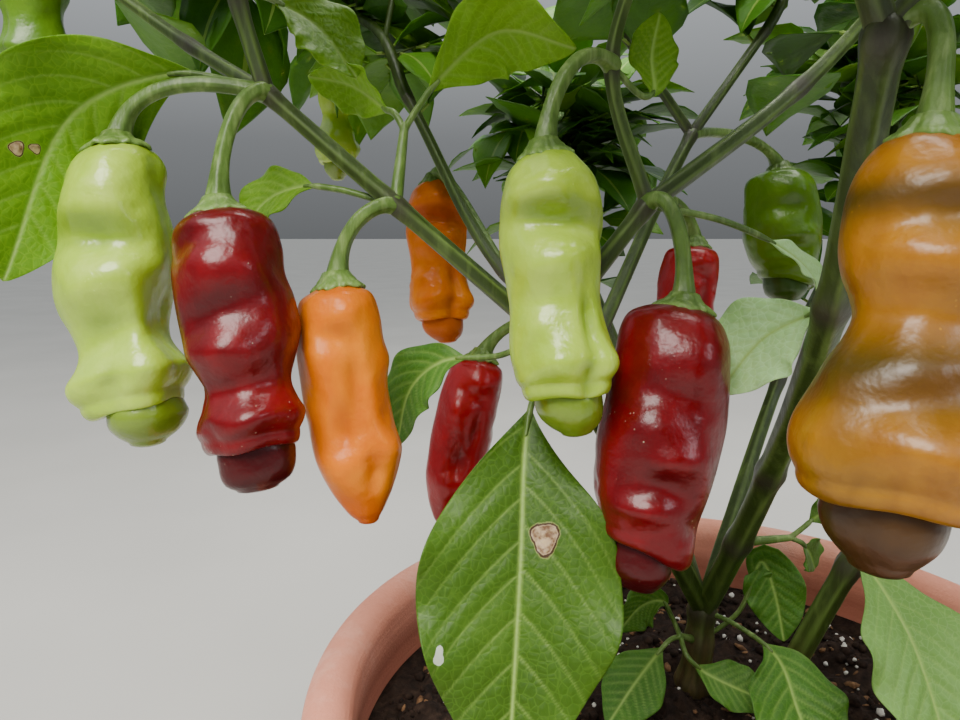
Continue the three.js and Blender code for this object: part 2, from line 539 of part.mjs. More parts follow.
// The first free way out of a few, each turned further aside from the heading
function wayOut(shoot, mass, grown, reach) {
  const aim = mass.centre.clone().sub(shoot.from).normalize();
  for (let attempt = 0; attempt < growth.tries; attempt += 1) {
    const aside = growth.turnAside * attempt * (attempt % 2 ? 1 : -1);
    const way = turned(shoot.heading, shoot.along, aside).lerp(aim, growth.aiming);
    way.addScaledVector(skyward, growth.lift).normalize();
    const to = shoot.from.clone().addScaledVector(way, reach);
    const points = between(shoot.from, to, 5).slice(1);
    const clear = fits(points, mass, shoot.radius, growth.twigRoom)
      && grown.leaves.every((leaf) => apart(leaf.points, points, growth.twigsApart));
    if (clear) return { way, to, points };
  }
  return null;
}

// Each shoot ends at a fork with leaves and two further shoots, or in a cluster of leaves.
// The first of the two carries its parent's twig on, and the other starts a twig of its own.
function growMass(mass) {
  const random = randomFrom(mass.seed);
  const bough = limbNamed(mass.bough);
  mass.start = bough.curve.getPointAt(1);
  const onward = bough.curve.getTangentAt(1);
  const grown = { twigs: [], twigPoints: [], leaves: [], fruits: [] };
  const shoots = [{ from: mass.start, heading: onward, along: onward, order: 0, length: growth.shoot,
    radius: bough.radius[1] * growth.stout, plane: random() * Math.PI }];
  while (shoots.length) {
    const shoot = shoots.shift();
    const draws = Array.from({ length: 10 }, () => random());
    const free = wayOut(shoot, mass, grown, shoot.length * mix(...growth.shootVaries, draws[9]));
    if (!free) continue;
    const { way, to } = free;
    grown.twigPoints.push(...free.points);
    const endRadius = shoot.radius * growth.thinner;
    const last = shoot.order === growth.orders - 1;
    const carriesOn = shoot.twig && shoot.twig.at(-1).point === shoot.from;
    const twig = carriesOn ? shoot.twig : newTwig(shoot);
    if (!carriesOn) grown.twigs.push(twig);
    twig.push({ point: to, radius: endRadius });
    const sideways = way.clone().cross(skyward).normalize();
    const count = last ? growth.endLeaves : growth.forkLeaves;
    const [leastForward, forwardVaries] = growth.leafForward;
    for (let i = 0; i < count; i += 1) {
      const atEnd = last && i === 0;
      const forward = atEnd ? growth.endLeafForward : leastForward + forwardVaries * draws[i + 1];
      const node = to.clone().addScaledVector(way, -growth.leafSpacing * (i + (last ? 0 : 2)));
      const length = crownLeaf.length * mix(...crownLeaf.varies, draws[i + 4]);
      const firstRound = shoot.plane + (2 * Math.PI * (i + 0.5 * draws[0])) / count;
      for (let attempt = 0; attempt < growth.tries; attempt += 1) {
        const run = turned(sideways, way, firstRound + attempt * growth.turnAside);
        run.multiplyScalar(1 - forward / 2).addScaledVector(way, forward);
        run.addScaledVector(skyward, -growth.leafDip).normalize();
        const leaf = placeLeaf(node, run, length);
        if (fits(leaf.points, mass, crownLeaf.thick, growth.leafRoom) && clearOfGrown(leaf, grown)) {
          grown.leaves.push(leaf);
          if (atEnd) twig.leaf = leaf;
          break;
        }
      }
    }
    const axis = turned(sideways, way, shoot.plane);
    if (grown.fruits.length < mass.fruits && shoot.order) {
      const top = to.clone().addScaledVector(axis, fruit.aside).addScaledVector(skyward, -fruit.stalk);
      const tip = top.clone().addScaledVector(skyward, -fruit.length);
      if (fits(between(top, tip, 4), mass, fruit.radius, fruit.radius + growth.twigRoom)) {
        grown.fruits.push({ from: to, top, tip });
      }
    }
    if (last) continue;
    const spread = growth.forkSpread * mix(...growth.spreadVaries, draws[8]);
    for (const side of [-1, 1]) {
      shoots.push({ from: to, heading: turned(way, axis, side * spread), along: way, order: shoot.order + 1,
        length: shoot.length * growth.shorter, radius: endRadius, twig,
        plane: shoot.plane + Math.PI / 2 + growth.forkTurn * (draws[0] - 0.5) });
    }
  }
  return grown;
}

// Three points round a centre, the first of them the given angle away from across
function triangle(centre, across, rise, radius, from = 90) {
  return [0, 120, 240].map((degrees) => {
    const turn = THREE.MathUtils.degToRad(from + degrees);
    return centre.clone().addScaledVector(across, radius * Math.cos(turn))
      .addScaledVector(rise, radius * Math.sin(turn));
  });
}

// A three-sided twig through a row of places with a radius at each, which may run on into a leaf
function twigSolid(row) {
  const rings = row.map(({ point, radius }, i) => {
    const before = row[Math.max(0, i - 1)].point;
    const after = row[Math.min(row.length - 1, i + 1)].point;
    const way = after.clone().sub(before).normalize();
    const across = way.clone().cross(at(0.3, 0.9, 0.2)).normalize();
    return triangle(point, across, across.clone().cross(way), radius);
  });
  return loft([...rings, ...(row.leaf?.blade ?? [])]);
}

function fruitSolid({ from, top, tip }) {
  const way = top.clone().sub(from).normalize();
  const end = { point: top.clone().addScaledVector(way, fruit.stalkSunk), radius: fruit.stalkRadius * 2 };
  const stalk = twigSolid([{ point: from, radius: fruit.stalkRadius }, end]);
  return podBody({ top, tip, girth: fruit.radius * 2, shape: 'small' }, fruit.sides).add(stalk);
}

function massSolid(mass, boughShell) {
  const { twigs, leaves, fruits } = growMass(mass);
  const sideLeaves = leaves.filter((leaf) => !twigs.some((twig) => twig.leaf === leaf));
  const solids = [...twigs.map(twigSolid), ...sideLeaves.map((leaf) => loft([leaf.root, ...leaf.blade])),
    ...fruits.map(fruitSolid)];
  return wasm.Manifold.union(solids).subtract(boughShell);
}

// The whole plant
const plant = new THREE.Group();
plant.add(meshOf('pot', potSolid(), finish.clay));
plant.add(meshOf('soil', soilSolid(), finish.soil));
const { shells, solids } = limbSolids();
solids.forEach((solid, name) => plant.add(meshOf(name, solid, finish.stem)));

// What hangs from a fork is cut clear of the limbs there and of what was hung before it.
const hung = [];
function hang(name, from, makeSolid, material) {
  const meets = limbs.filter((limb) => limb.through.includes(from)).map((limb) => shells.get(limb.name));
  const cut = [...meets, ...hung].reduce((body, shell) => body.subtract(shell), makeSolid(0));
  plant.add(meshOf(name, cut, material));
  hung.push(makeSolid(gap));
}
pods.forEach((pod) => hang(pod.name, pod.from, (grow) => podWithStalk(pod, grow), finish[pod.colour]));
sprigs.forEach((sprig) => hang(sprig.name, sprig.from, (grow) => sprigSolid(sprig, grow), finish.leaf));
masses.forEach((mass) => plant.add(meshOf(mass.name, massSolid(mass, shells.get(mass.bough)), finish.leaf)));

export default plant;
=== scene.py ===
import math

import bpy
import numpy as np
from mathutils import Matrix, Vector


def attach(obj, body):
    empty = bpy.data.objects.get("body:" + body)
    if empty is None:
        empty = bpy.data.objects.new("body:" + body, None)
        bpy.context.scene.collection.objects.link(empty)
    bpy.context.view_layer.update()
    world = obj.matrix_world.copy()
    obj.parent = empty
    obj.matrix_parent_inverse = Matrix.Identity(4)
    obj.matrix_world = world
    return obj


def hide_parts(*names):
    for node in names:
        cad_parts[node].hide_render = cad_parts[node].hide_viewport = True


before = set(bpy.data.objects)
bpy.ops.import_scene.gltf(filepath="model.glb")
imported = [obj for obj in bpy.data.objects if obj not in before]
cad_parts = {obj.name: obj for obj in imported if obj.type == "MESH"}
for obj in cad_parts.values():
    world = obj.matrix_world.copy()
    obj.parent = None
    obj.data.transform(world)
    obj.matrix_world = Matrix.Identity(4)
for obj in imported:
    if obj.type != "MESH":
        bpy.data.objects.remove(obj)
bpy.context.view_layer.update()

# A chilli pepper plant in a terracotta pot. Places are in millimetres in the frame's own axes,
# and each mesh is scaled to metres as it is made.


# small tools for points and directions
def vec(x, y, z):
    return np.array([x, y, z], float)


skyward = vec(0, 0, 1)


def unit(v):
    return v / np.maximum(np.linalg.norm(v, axis=-1, keepdims=True), 1e-9)


def mix(a, b, t):
    return a + (b - a) * t


def smooth(x):
    x = np.clip(x, 0, 1)
    return x * x * (3 - 2 * x)


def hump(x, middle, width):
    return np.exp(-((x - middle) / width) ** 2)


def turned(v, axis, angle):
    # Rodrigues' turn of a direction about an axis
    c, s = math.cos(angle), math.sin(angle)
    return unit(v * c + np.cross(axis, v) * s + axis * np.dot(axis, v) * (1 - c))


def throughPoints(points, shares):
    # a centripetal curve through the points, at the given shares of its run
    rows = [2 * points[0] - points[1], *points, 2 * points[-1] - points[-2]]
    out = []
    for share in np.atleast_1d(shares):
        reach = share * (len(points) - 1)
        i = min(int(reach), len(points) - 2)
        w = reach - i
        p0, p1, p2, p3 = rows[i:i + 4]
        d0, d1, d2 = (math.sqrt(np.linalg.norm(b - a)) for a, b in ((p0, p1), (p1, p2), (p2, p3)))
        t1 = ((p1 - p0) / d0 - (p2 - p0) / (d0 + d1) + (p2 - p1) / d1) * d1
        t2 = ((p2 - p1) / d1 - (p3 - p1) / (d1 + d2) + (p3 - p2) / d2) * d1
        out.append(p1 + t1 * w + (3 * (p2 - p1) - 2 * t1 - t2) * w * w + (2 * (p1 - p2) + t1 + t2) * w ** 3)
    return np.array(out)


curveShares = np.linspace(0, 1, 201)  # where a curve is measured


def runOf(path):
    return np.concatenate([[0], np.cumsum(np.linalg.norm(np.diff(path, axis=0), axis=1))])


def along(points, count=None, step=None):
    # the curve through the points, in count + 1 places an even step apart
    points = [np.asarray(p, float) for p in points]
    run = runOf(throughPoints(points, curveShares))
    count = count or max(4, round(run[-1] / step))
    return throughPoints(points, np.interp(np.linspace(0, run[-1], count + 1), run, curveShares))


def straight(a, b, step):
    count = math.ceil(np.linalg.norm(b - a) / step)
    return a + (b - a) * np.linspace(0, 1, count + 1)[:, None]


def bezier(a, b, c, d, count):
    t = np.linspace(0, 1, count + 1)[:, None]
    return a * (1 - t) ** 3 + 3 * b * t * (1 - t) ** 2 + 3 * c * t * t * (1 - t) + d * t ** 3


# meshes
def gridFaces(rows, columns, wrap=False):
    index = np.arange(rows * columns).reshape(rows, columns)
    if wrap:
        index = np.column_stack([index, index[:, :1]])
    return np.stack([index[:-1, :-1], index[:-1, 1:], index[1:, 1:], index[1:, :-1]], -1).reshape(-1, 4)


def ringBody(rings):
    # a closed body through rings of points, each end drawn to a pole in the middle of its last ring
    rows, sides = rings.shape[:2]
    middle = rings.mean(axis=1)
    points = np.concatenate([rings.reshape(-1, 3), middle[[0, -1]]])
    ring = np.arange(sides)
    turn = np.roll(ring, -1)
    last = (rows - 1) * sides
    first = np.column_stack([turn, ring, np.full(sides, rows * sides)])
    final = np.column_stack([last + ring, last + turn, np.full(sides, rows * sides + 1)])
    return points, [gridFaces(rows, sides, wrap=True), first, final]


def withPoles(marks):
    # a mark for each point of a ringBody, from one for each point of its rings
    marks = np.asarray(marks, float)
    return np.concatenate([marks.ravel(), [marks[0].mean(), marks[-1].mean()]])


def bothSides(upper, lower):
    # the rings of a thin body, such as a leaf's blade, round its upper and its lower side
    return np.concatenate([upper, lower[:, ::-1]], axis=1)


def roundTurns(sides):
    return np.arange(sides) * 2 * math.pi / sides


class Shape:
    # a mesh in the making: blocks of points and faces, each face's finish and each point's marks
    def __init__(self):
        self.points, self.faces, self.finish, self.marks, self.count = [], [], [], {}, 0

    def add(self, points, faces, finish=0, **marks):
        # finish is one number, or one for each face of the first block
        for block in faces if isinstance(faces, list) else [faces]:
            self.faces.append(block + self.count)
            self.finish.append(np.broadcast_to(finish, (len(block),)))
            finish = finish if np.isscalar(finish) else finish[0]
        for mark, values in marks.items():
            self.marks.setdefault(mark, []).append((self.count, values))
        self.points.append(points)
        self.count += len(points)

    def piece(self, name, finishes, slot, *nodes):
        faces = [face for block in self.faces for face in block.tolist()]
        mesh = bpy.data.meshes.new(name)
        mesh.from_pydata((np.concatenate(self.points) * 0.001).tolist(), [], faces)
        for finish in finishes:
            mesh.materials.append(finish)
        mesh.polygons.foreach_set("material_index", np.concatenate(self.finish).astype(np.int32))
        mesh.polygons.foreach_set("use_smooth", np.ones(len(faces), bool))
        for mark, blocks in self.marks.items():
            values = np.zeros(self.count, np.float32)
            for start, block in blocks:
                values[start:start + len(block)] = block
            mesh.attributes.new(mark, "FLOAT", "POINT").data.foreach_set("value", values)
        mesh.update()
        piece = bpy.data.objects.new(name, mesh)
        bpy.context.scene.collection.objects.link(piece)
        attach(piece, "root")
        if nodes:
            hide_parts(*nodes)
        return len(faces)


def framesOf(path, facing):
    # the way, across and up at each place of a path, carried along it with no twist
    ways = unit(np.gradient(path, axis=0))
    ups = []
    up = facing
    for way in ways:
        up = unit(up - way * np.dot(up, way))
        ups.append(up)
    ups = np.array(ups)
    return ways, np.cross(ups, ways), ups


def tube(path, radius, sides, facing=vec(0.3, -1, 0.2), ridge=None):
    # rings round a path with rounded ends; ridge(turn, run) swells the radius round and along it
    radius = np.broadcast_to(radius, (len(path),)).astype(float)
    run = runOf(path)
    bend = np.radians([78, 55, 30])  # three shrinking rings round off each end
    ways = unit(np.gradient(path, axis=0))
    before = path[0] - ways[0] * radius[0] * np.sin(bend)[:, None]
    after = path[-1] + ways[-1] * radius[-1] * np.sin(bend)[::-1, None]
    path = np.concatenate([before, path, after])
    radius = np.concatenate([radius[0] * np.cos(bend), radius, radius[-1] * np.cos(bend)[::-1]])
    run = np.concatenate([np.zeros(3), run, np.full(3, run[-1])])
    _, across, up = framesOf(path, facing)
    turn = roundTurns(sides)
    reach = radius[:, None] * (1 if ridge is None else 1 + ridge(turn[None, :], run[:, None]))
    spokes = np.cos(turn)[None, :, None] * across[:, None] + np.sin(turn)[None, :, None] * up[:, None]
    return path[:, None] + np.broadcast_to(reach, (len(path), sides))[..., None] * spokes


# finishes
def tone(code):
    parts = [int(code[i:i + 2], 16) / 255 for i in (1, 3, 5)]
    return tuple(p / 12.92 if p <= 0.04045 else ((p + 0.055) / 1.055) ** 2.4 for p in parts) + (1.0,)


def node(tree, kind, inputs=None, **settings):
    made = tree.nodes.new("ShaderNode" + kind)
    for key, value in settings.items():
        setattr(made, key, value)
    for key, value in (inputs or {}).items():
        if isinstance(value, bpy.types.NodeSocket):
            tree.links.new(value, made.inputs[key])
        else:
            made.inputs[key].default_value = value
    return made


def noise(tree, scale, detail=4.0, roughness=0.5, stretch=None, distortion=0.0):
    where = node(tree, "TexCoord").outputs["Object"]
    if stretch:
        where = node(tree, "Mapping", {"Vector": where, "Scale": stretch}).outputs[0]
    return node(tree, "TexNoise", {"Vector": where, "Scale": scale, "Detail": detail, "Roughness": roughness,
                                   "Distortion": distortion}).outputs["Fac"]


def cells(tree, scale, feature="F1"):
    where = node(tree, "TexCoord").outputs["Object"]
    return node(tree, "TexVoronoi", {"Vector": where, "Scale": scale}, feature=feature).outputs["Distance"]


def ramp(tree, factor, *stops):
    made = node(tree, "ValToRGB", {"Fac": factor})
    steps = made.color_ramp.elements
    while len(steps) < len(stops):
        steps.new(0.5)
    for step, (place, colour) in zip(steps, stops):
        step.position = place
        step.color = tone(colour) if isinstance(colour, str) else (colour, colour, colour, 1)
    return made.outputs["Color"]


def mixTones(tree, factor, a, b, blend="MIX"):
    made = node(tree, "Mix", data_type="RGBA", blend_type=blend)
    for index, value in ((0, factor), (6, a), (7, b)):
        if isinstance(value, bpy.types.NodeSocket):
            tree.links.new(value, made.inputs[index])
        else:
            made.inputs[index].default_value = tone(value) if isinstance(value, str) else value
    return made.outputs[2]


def mark(tree, name):
    return node(tree, "Attribute", attribute_name=name).outputs["Fac"]


def scaled(tree, value, factor):
    return node(tree, "Math", {0: value, 1: factor}, operation="MULTIPLY").outputs[0]


def bump(tree, height, distance, under=None):
    inputs = {"Height": height, "Distance": distance}
    if under is not None:
        inputs["Normal"] = under
    return node(tree, "Bump", inputs).outputs["Normal"]


def newFinish(name, sockets):
    finish = bpy.data.materials.new(name)
    finish.use_nodes = True
    shader = finish.node_tree.nodes["Principled BSDF"]
    for socket, value in sockets.items():
        shader.inputs[socket].default_value = value
    return finish, finish.node_tree, shader


def connect(tree, shader, **outputs):
    sockets = {"colour": "Base Color", "rough": "Roughness", "normal": "Normal"}
    for name, output in outputs.items():
        tree.links.new(output, shader.inputs[sockets[name]])


def mottled(tree, factor, tones, places, evened):
    # low, middle and high tones in patches, evened out towards the middle one
    return mixTones(tree, evened, tones[1], ramp(tree, factor, *zip(places, tones)))


def marked(tree, base, name, strength, colour):
    # a tone laid over the base where the mesh carries the mark
    return mixTones(tree, scaled(tree, mark(tree, name), strength), base, colour)


# the view, the floor and the light
studio = {
    "eye": (-0.113, -0.314, 0.488), "dip": 10, "lens": 27, "sensor": 36, "nearest": 0.01,
    "floorSide": 120.0, "floorTones": ("#a3a19c", "#aaa8a3"), "floorRoughness": 0.75,
    "skyTone": "#e9eef2", "skyLight": 1.25,
    # how bright the sky is, from straight down to straight up
    "skyBands": ((0.0, 0.08), (0.48, 0.12), (0.56, 0.2), (0.72, 0.6), (0.85, 1.0)),
    "softboxes": [  # place, where it looks, width, watts, tone
        ((-0.6, -1.35, 2.2), (-0.05, -0.05, 0.45), 1.5, 92, "#fffaf2"),
        ((0.3, 0.35, 2.5), (0, 0, 0.5), 1.6, 68, "#fffdf5"),
        ((1.6, -1.0, 1.3), (0, 0, 0.45), 0.8, 9, "#f2f6ff"),
    ],
}


def makeStudio():
    scene = bpy.context.scene
    camera = bpy.data.objects.new("camera", bpy.data.cameras.new("camera"))
    camera.location = studio["eye"]
    camera.rotation_euler = (math.radians(90 - studio["dip"]), 0, 0)
    camera.data.lens = studio["lens"]
    camera.data.sensor_width = studio["sensor"]
    camera.data.clip_start = studio["nearest"]
    scene.collection.objects.link(camera)
    scene.camera = camera

    half = studio["floorSide"] / 2
    mesh = bpy.data.meshes.new("floor")
    corners = [(-half, -half, 0), (half, -half, 0), (half, half, 0), (-half, half, 0)]
    mesh.from_pydata(corners, [], [(0, 1, 2, 3)])
    floor = bpy.data.objects.new("floor", mesh)
    scene.collection.objects.link(floor)
    finish, tree, shader = newFinish("pale_floor", {"Roughness": studio["floorRoughness"]})
    low, high = studio["floorTones"]
    connect(tree, shader, colour=ramp(tree, noise(tree, 3.0, 2), (0.3, low), (0.7, high)))
    mesh.materials.append(finish)

    world = bpy.data.worlds.new("daylight")
    world.use_nodes = True
    tree = world.node_tree
    sky = tree.nodes["Background"]
    height = node(tree, "SeparateXYZ", {0: node(tree, "TexCoord").outputs["Generated"]}).outputs["Z"]
    height = node(tree, "Math", {0: height, 1: 0.5, 2: 0.5}, operation="MULTIPLY_ADD").outputs[0]
    toneBandsAndPaintedShade = ramp(tree, height, *studio["skyBands"])
    tree.links.new(mixTones(tree, 1.0, studio["skyTone"], toneBandsAndPaintedShade, "MULTIPLY"), sky.inputs["Color"])
    sky.inputs["Strength"].default_value = studio["skyLight"]
    scene.world = world
    for i, (place, target, width, watts, colour) in enumerate(studio["softboxes"]):
        light = bpy.data.lights.new(f"softbox_{i}", "AREA")
        light.shape = "DISK"
        light.size = width
        light.energy = watts
        light.color = tone(colour)[:3]
        softbox = bpy.data.objects.new(f"softbox_{i}", light)
        softbox.location = place
        softbox.visible_camera = False
        softbox.rotation_euler = (Vector(target) - Vector(place)).to_track_quat("-Z", "Y").to_euler()
        scene.collection.objects.link(softbox)
    print("studio: camera, floor and", len(studio["softboxes"]), "softboxes")


makeStudio()


# the pot
pot = {
    "height": 285, "rimRadius": 195, "rimThick": 23, "rimDeep": 31, "shoulderRadius": 186, "footRadius": 166,
    "wall": 13, "floor": 15, "footRound": 16, "floorRound": 6, "brimRound": 2, "groovesUnderRim": (58, 34),
    "grooveDepth": 2.2, "grooveWidth": 5, "flatRings": (30, 90), "insideRing": 120, "ringsApart": 12,
    "sides": 168, "waver": 0.35, "waverLength": 90, "waverFrom": 40, "shoulderStep": (-0.4, 1.6),
    "shoulderBevel": 1.5, "brimTuck": 0.5, "innerStep": (0.8, 5),
    "darkerBelow": 268, "darkerFade": 14, "darkerFoot": 30, "footDarkening": 0.25,
    "clay": ("#c97a61", "#e5987e", "#f3b09a"), "bloom": "#f7d5c6", "darker_clay": "#9a5641",
}


def wallRadius(z):
    return mix(pot["footRadius"], pot["shoulderRadius"], z / (pot["height"] - pot["rimDeep"]))


def arc(x, z, radius, start, end, count):
    turn = np.radians(np.linspace(start, end, count + 1))
    return [(x + radius * math.cos(a), z + radius * math.sin(a)) for a in turn]


def lathe(profile, sides, wobble):
    turn = roundTurns(sides)
    profile = np.array(profile, float)
    radius = profile[:, :1] + wobble(turn[None, :], profile[:, 1:])
    height = np.repeat(profile[:, 1:], sides, axis=1)
    return ringBody(np.stack([radius * np.cos(turn), radius * np.sin(turn), height], -1))


def clayFinish():
    finish, tree, shader = newFinish("terracotta", {"Specular IOR Level": 0.28})
    base = mottled(tree, noise(tree, 7, 6, 0.6), pot["clay"], (0.3, 0.5, 0.72), 0.55)
    bloom = ramp(tree, noise(tree, 16, 8, 0.68, stretch=(1, 1, 0.6)), (0.5, 0.0), (0.8, 0.6))
    base = mixTones(tree, bloom, base, pot["bloom"])
    grit = ramp(tree, noise(tree, 420, 3, 0.6), (0.35, 0.0), (0.75, 0.22))
    base = mixTones(tree, grit, base, pot["clay"][0])
    # darker clay inside the pot up to just above the mix, and towards the bottom
    base = marked(tree, base, "darker_clay", 0.75, pot["darker_clay"])
    rough = ramp(tree, noise(tree, 30, 5), (0.3, 0.6), (0.7, 0.78))
    rings = noise(tree, 26, 3, stretch=(0.04, 0.04, 9))
    normal = bump(tree, noise(tree, 700, 4, 0.6), 0.0004, bump(tree, rings, 0.0006))
    connect(tree, shader, colour=base, rough=rough, normal=normal)
    return finish


def potProfile():
    # (radius, height) from the middle of the underside up the wall, over the rolled rim and down the inside
    top, lip, wall = pot["height"], pot["rimThick"] / 2, pot["wall"]
    shoulder = top - pot["rimDeep"]
    profile = [(radius, 0) for radius in pot["flatRings"]]
    profile += arc(wallRadius(0) - pot["footRound"], pot["footRound"], pot["footRound"], -90, 0, 8)
    for below in pot["groovesUnderRim"]:
        middle, width = shoulder - below, pot["grooveWidth"]
        for z in np.linspace(middle - width, middle + width, 9):
            depth = pot["grooveDepth"] * max(0, math.cos((z - middle) / width * math.pi / 2)) ** 1.5
            profile.append((wallRadius(z) - depth, z))
    before, after = pot["shoulderStep"]
    profile.append((pot["shoulderRadius"] + before, shoulder - pot["shoulderBevel"]))
    profile.append((pot["shoulderRadius"] + after, shoulder))
    brim = pot["brimRound"]
    profile.append((pot["rimRadius"] - brim - pot["brimTuck"], shoulder))
    profile += arc(pot["rimRadius"] - brim, shoulder + brim, brim, -60, 0, 3)
    profile += arc(pot["rimRadius"] - lip, top - lip, lip, 0, 180, 18)
    inner, ring, (tuck, above) = pot["shoulderRadius"] - wall, pot["insideRing"], pot["innerStep"]
    profile += [(inner - tuck, shoulder + above), (inner, shoulder), (wallRadius(ring) - wall, ring)]
    floor, corner = pot["floor"], pot["floorRound"]
    profile += arc(wallRadius(floor) - wall - corner, floor + corner, corner, 0, -90, 4)
    profile.append((pot["flatRings"][0], floor))
    fine = []
    for a, b in zip(profile, profile[1:]):
        count = max(1, math.ceil(math.dist(a, b) / pot["ringsApart"]))
        fine += [(mix(a[0], b[0], i / count), mix(a[1], b[1], i / count)) for i in range(count)]
    return fine + [profile[-1]]


def makePot():
    def wobble(turn, z):
        # a hand-thrown wall is never quite round; the underside is, and nothing passes the pot's own sizes
        out = np.sin(2 * turn + 0.7) * np.sin(z / pot["waverLength"] + 1)
        return pot["waver"] * (out * np.clip(z / pot["waverFrom"], 0, 1) - 1)

    points, faces = lathe(potProfile(), pot["sides"], wobble)
    height = points[:, 2]
    inside = np.hypot(points[:, 0], points[:, 1]) < wallRadius(height) - pot["wall"] / 3
    # the clay is darker inside up to just above the mix, and towards the bottom
    darker_clay = inside * smooth((pot["darkerBelow"] - height) / pot["darkerFade"])
    darker_clay = darker_clay + pot["footDarkening"] * smooth(1 - height / pot["darkerFoot"])
    shape = Shape()
    shape.add(points, faces, darker_clay=np.clip(darker_clay, 0, 1))
    shape.piece("clay_pot", [clayFinish()], "terracotta", "pot")
    print("pot:", len(points), "points")


makePot()


# the potting mix
soil = {
    "level": 247, "flatRadius": 95, "edgeDrop": 5, "gap": 0.6, "bottom": 16, "bottomRound": 6, "rings": 76,
    "sides": 200, "middleRing": 3, "seed": 11,
    "waves": 60, "waveLengths": (5, 70), "waveHeight": 0.052, "waveGrowth": 0.7, "calmEdge": 6,
    "settled": 0.5, "bareEdge": 8,
    # how many, the least and the greatest size, and the shape
    "crumbs": (1500, 1.2, 4.2, (1, 0.9, 0.7)), "perlite": (520, 0.9, 2.6, (1, 0.9, 0.8)),
    "bark": (420, 2.0, 6.0, (1, 0.45, 0.28)),
    "lumpiness": (0.75, 1.2), "tilt": 0.3, "mostlySmall": 2.5, "showing": 0.35,
    "looks": (  # name, tones, scale of the grain, depth of the grain, roughness
        ("dark_mix", ("#120d0a", "#2a1e17", "#3d2e24"), 180, 0.0012, 0.95),
        ("perlite", ("#b9b4a8", "#e6e3da"), 500, 0.0003, 0.8),
        ("bark_chips", ("#4b3322", "#8a6747"), 260, 0.0005, 0.85)),
}


def soilFinish(name, tones, scale, depth, roughness):
    finish, tree, shader = newFinish(name, {"Roughness": roughness, "Specular IOR Level": 0.2})
    stops = [(0.3 + 0.4 * i / (len(tones) - 1), colour) for i, colour in enumerate(tones)]
    base = ramp(tree, noise(tree, scale, 6, 0.65), *stops)
    normal = bump(tree, noise(tree, scale * 3, 6, 0.7), depth)
    connect(tree, shader, colour=base, normal=normal)
    return finish


def crumbShape():
    # the corners of an icosahedron, and its faces turned outwards
    golden = (1 + math.sqrt(5)) / 2
    corner = unit(np.array([(a * x, (b if x else a) * y, b * z)
                            for x, y, z in ((0, 1, golden), (1, golden, 0), (golden, 0, 1))
                            for b in (1, -1) for a in (1, -1)]))
    near = [(a, b, c) for a in range(12) for b in range(a + 1, 12) for c in range(b + 1, 12)
            if max(math.dist(corner[i], corner[j]) for i, j in ((a, b), (b, c), (a, c))) < 1.1]
    faces = [(a, b, c) if np.linalg.det(corner[[a, b, c]]) > 0 else (c, b, a) for a, b, c in near]
    return corner, np.array(faces)


def mixSurface(draws, inner):
    # the height of the mix at any place: it falls to the wall, and waves of all lengths cross it
    length = np.exp(draws.uniform(*np.log(soil["waveLengths"]), soil["waves"]))
    heading = draws.uniform(0, 2 * math.pi, soil["waves"])
    pitch = np.column_stack([np.cos(heading), np.sin(heading)]) * 2 * math.pi / length[:, None]
    phase = draws.uniform(0, 2 * math.pi, soil["waves"])
    height = soil["waveHeight"] * length ** soil["waveGrowth"]

    def surface(x, y):
        reach = np.hypot(x, y)
        fall = soil["edgeDrop"] * smooth((reach - soil["flatRadius"]) / (inner - soil["flatRadius"]))
        wave = (np.sin(x[..., None] * pitch[:, 0] + y[..., None] * pitch[:, 1] + phase) * height).sum(-1)
        return soil["level"] - fall + wave * smooth((inner - reach) / soil["calmEdge"]) - soil["settled"]

    return surface


def scatterCrumbs(shape, draws, inner, surface):
    corner, lump = crumbShape()
    for finish, kind in enumerate(("crumbs", "perlite", "bark")):
        count, least, most, flat = soil[kind]
        for _ in range(count):
            reach = (inner - soil["bareEdge"]) * math.sqrt(draws.random())
            around, spin = draws.uniform(0, 2 * math.pi, 2)
            size = least + (most - least) * draws.random() ** soil["mostlySmall"]
            x, y = reach * math.cos(around), reach * math.sin(around)
            body = corner * draws.uniform(*soil["lumpiness"], (12, 1)) * size * np.array(flat)
            axis = unit(vec(draws.normal(0, soil["tilt"]), draws.normal(0, soil["tilt"]), 1))
            body = np.array([turned(p, axis, spin) * np.linalg.norm(p) for p in body])
            rest = surface(np.array([x]), np.array([y]))[0] + size * flat[2] * soil["showing"]
            shape.add(body + vec(x, y, rest), lump, finish)


def makeSoil():
    draws = np.random.default_rng(soil["seed"])
    edge = soil["level"] - soil["edgeDrop"]
    inner = wallRadius(edge) - pot["wall"] - soil["gap"]
    surface = mixSurface(draws, inner)
    turn = roundTurns(soil["sides"])
    bottom, corner = soil["bottom"], soil["bottomRound"]
    base = wallRadius(pot["floor"]) - pot["wall"] - soil["gap"]
    wall = ((pot["flatRings"][0], bottom), (base - corner, bottom), (base, bottom + corner),
            (mix(base, inner, 0.5), mix(bottom, edge, 0.5)), (inner, edge - 1))
    rows = [np.stack([r * np.cos(turn), r * np.sin(turn), np.full_like(turn, z)], -1) for r, z in wall]
    for r in np.linspace(inner, soil["middleRing"], soil["rings"]):
        x, y = r * np.cos(turn), r * np.sin(turn)
        rows.append(np.stack([x, y, surface(x, y)], -1))
    shape = Shape()
    shape.add(*ringBody(np.array(rows)))
    scatterCrumbs(shape, draws, inner, surface)
    finishes = [soilFinish(*look) for look in soil["looks"]]
    print("potting mix:", shape.piece("potting_mix", finishes, "potting_soil", "soil"), "faces")


makeSoil()


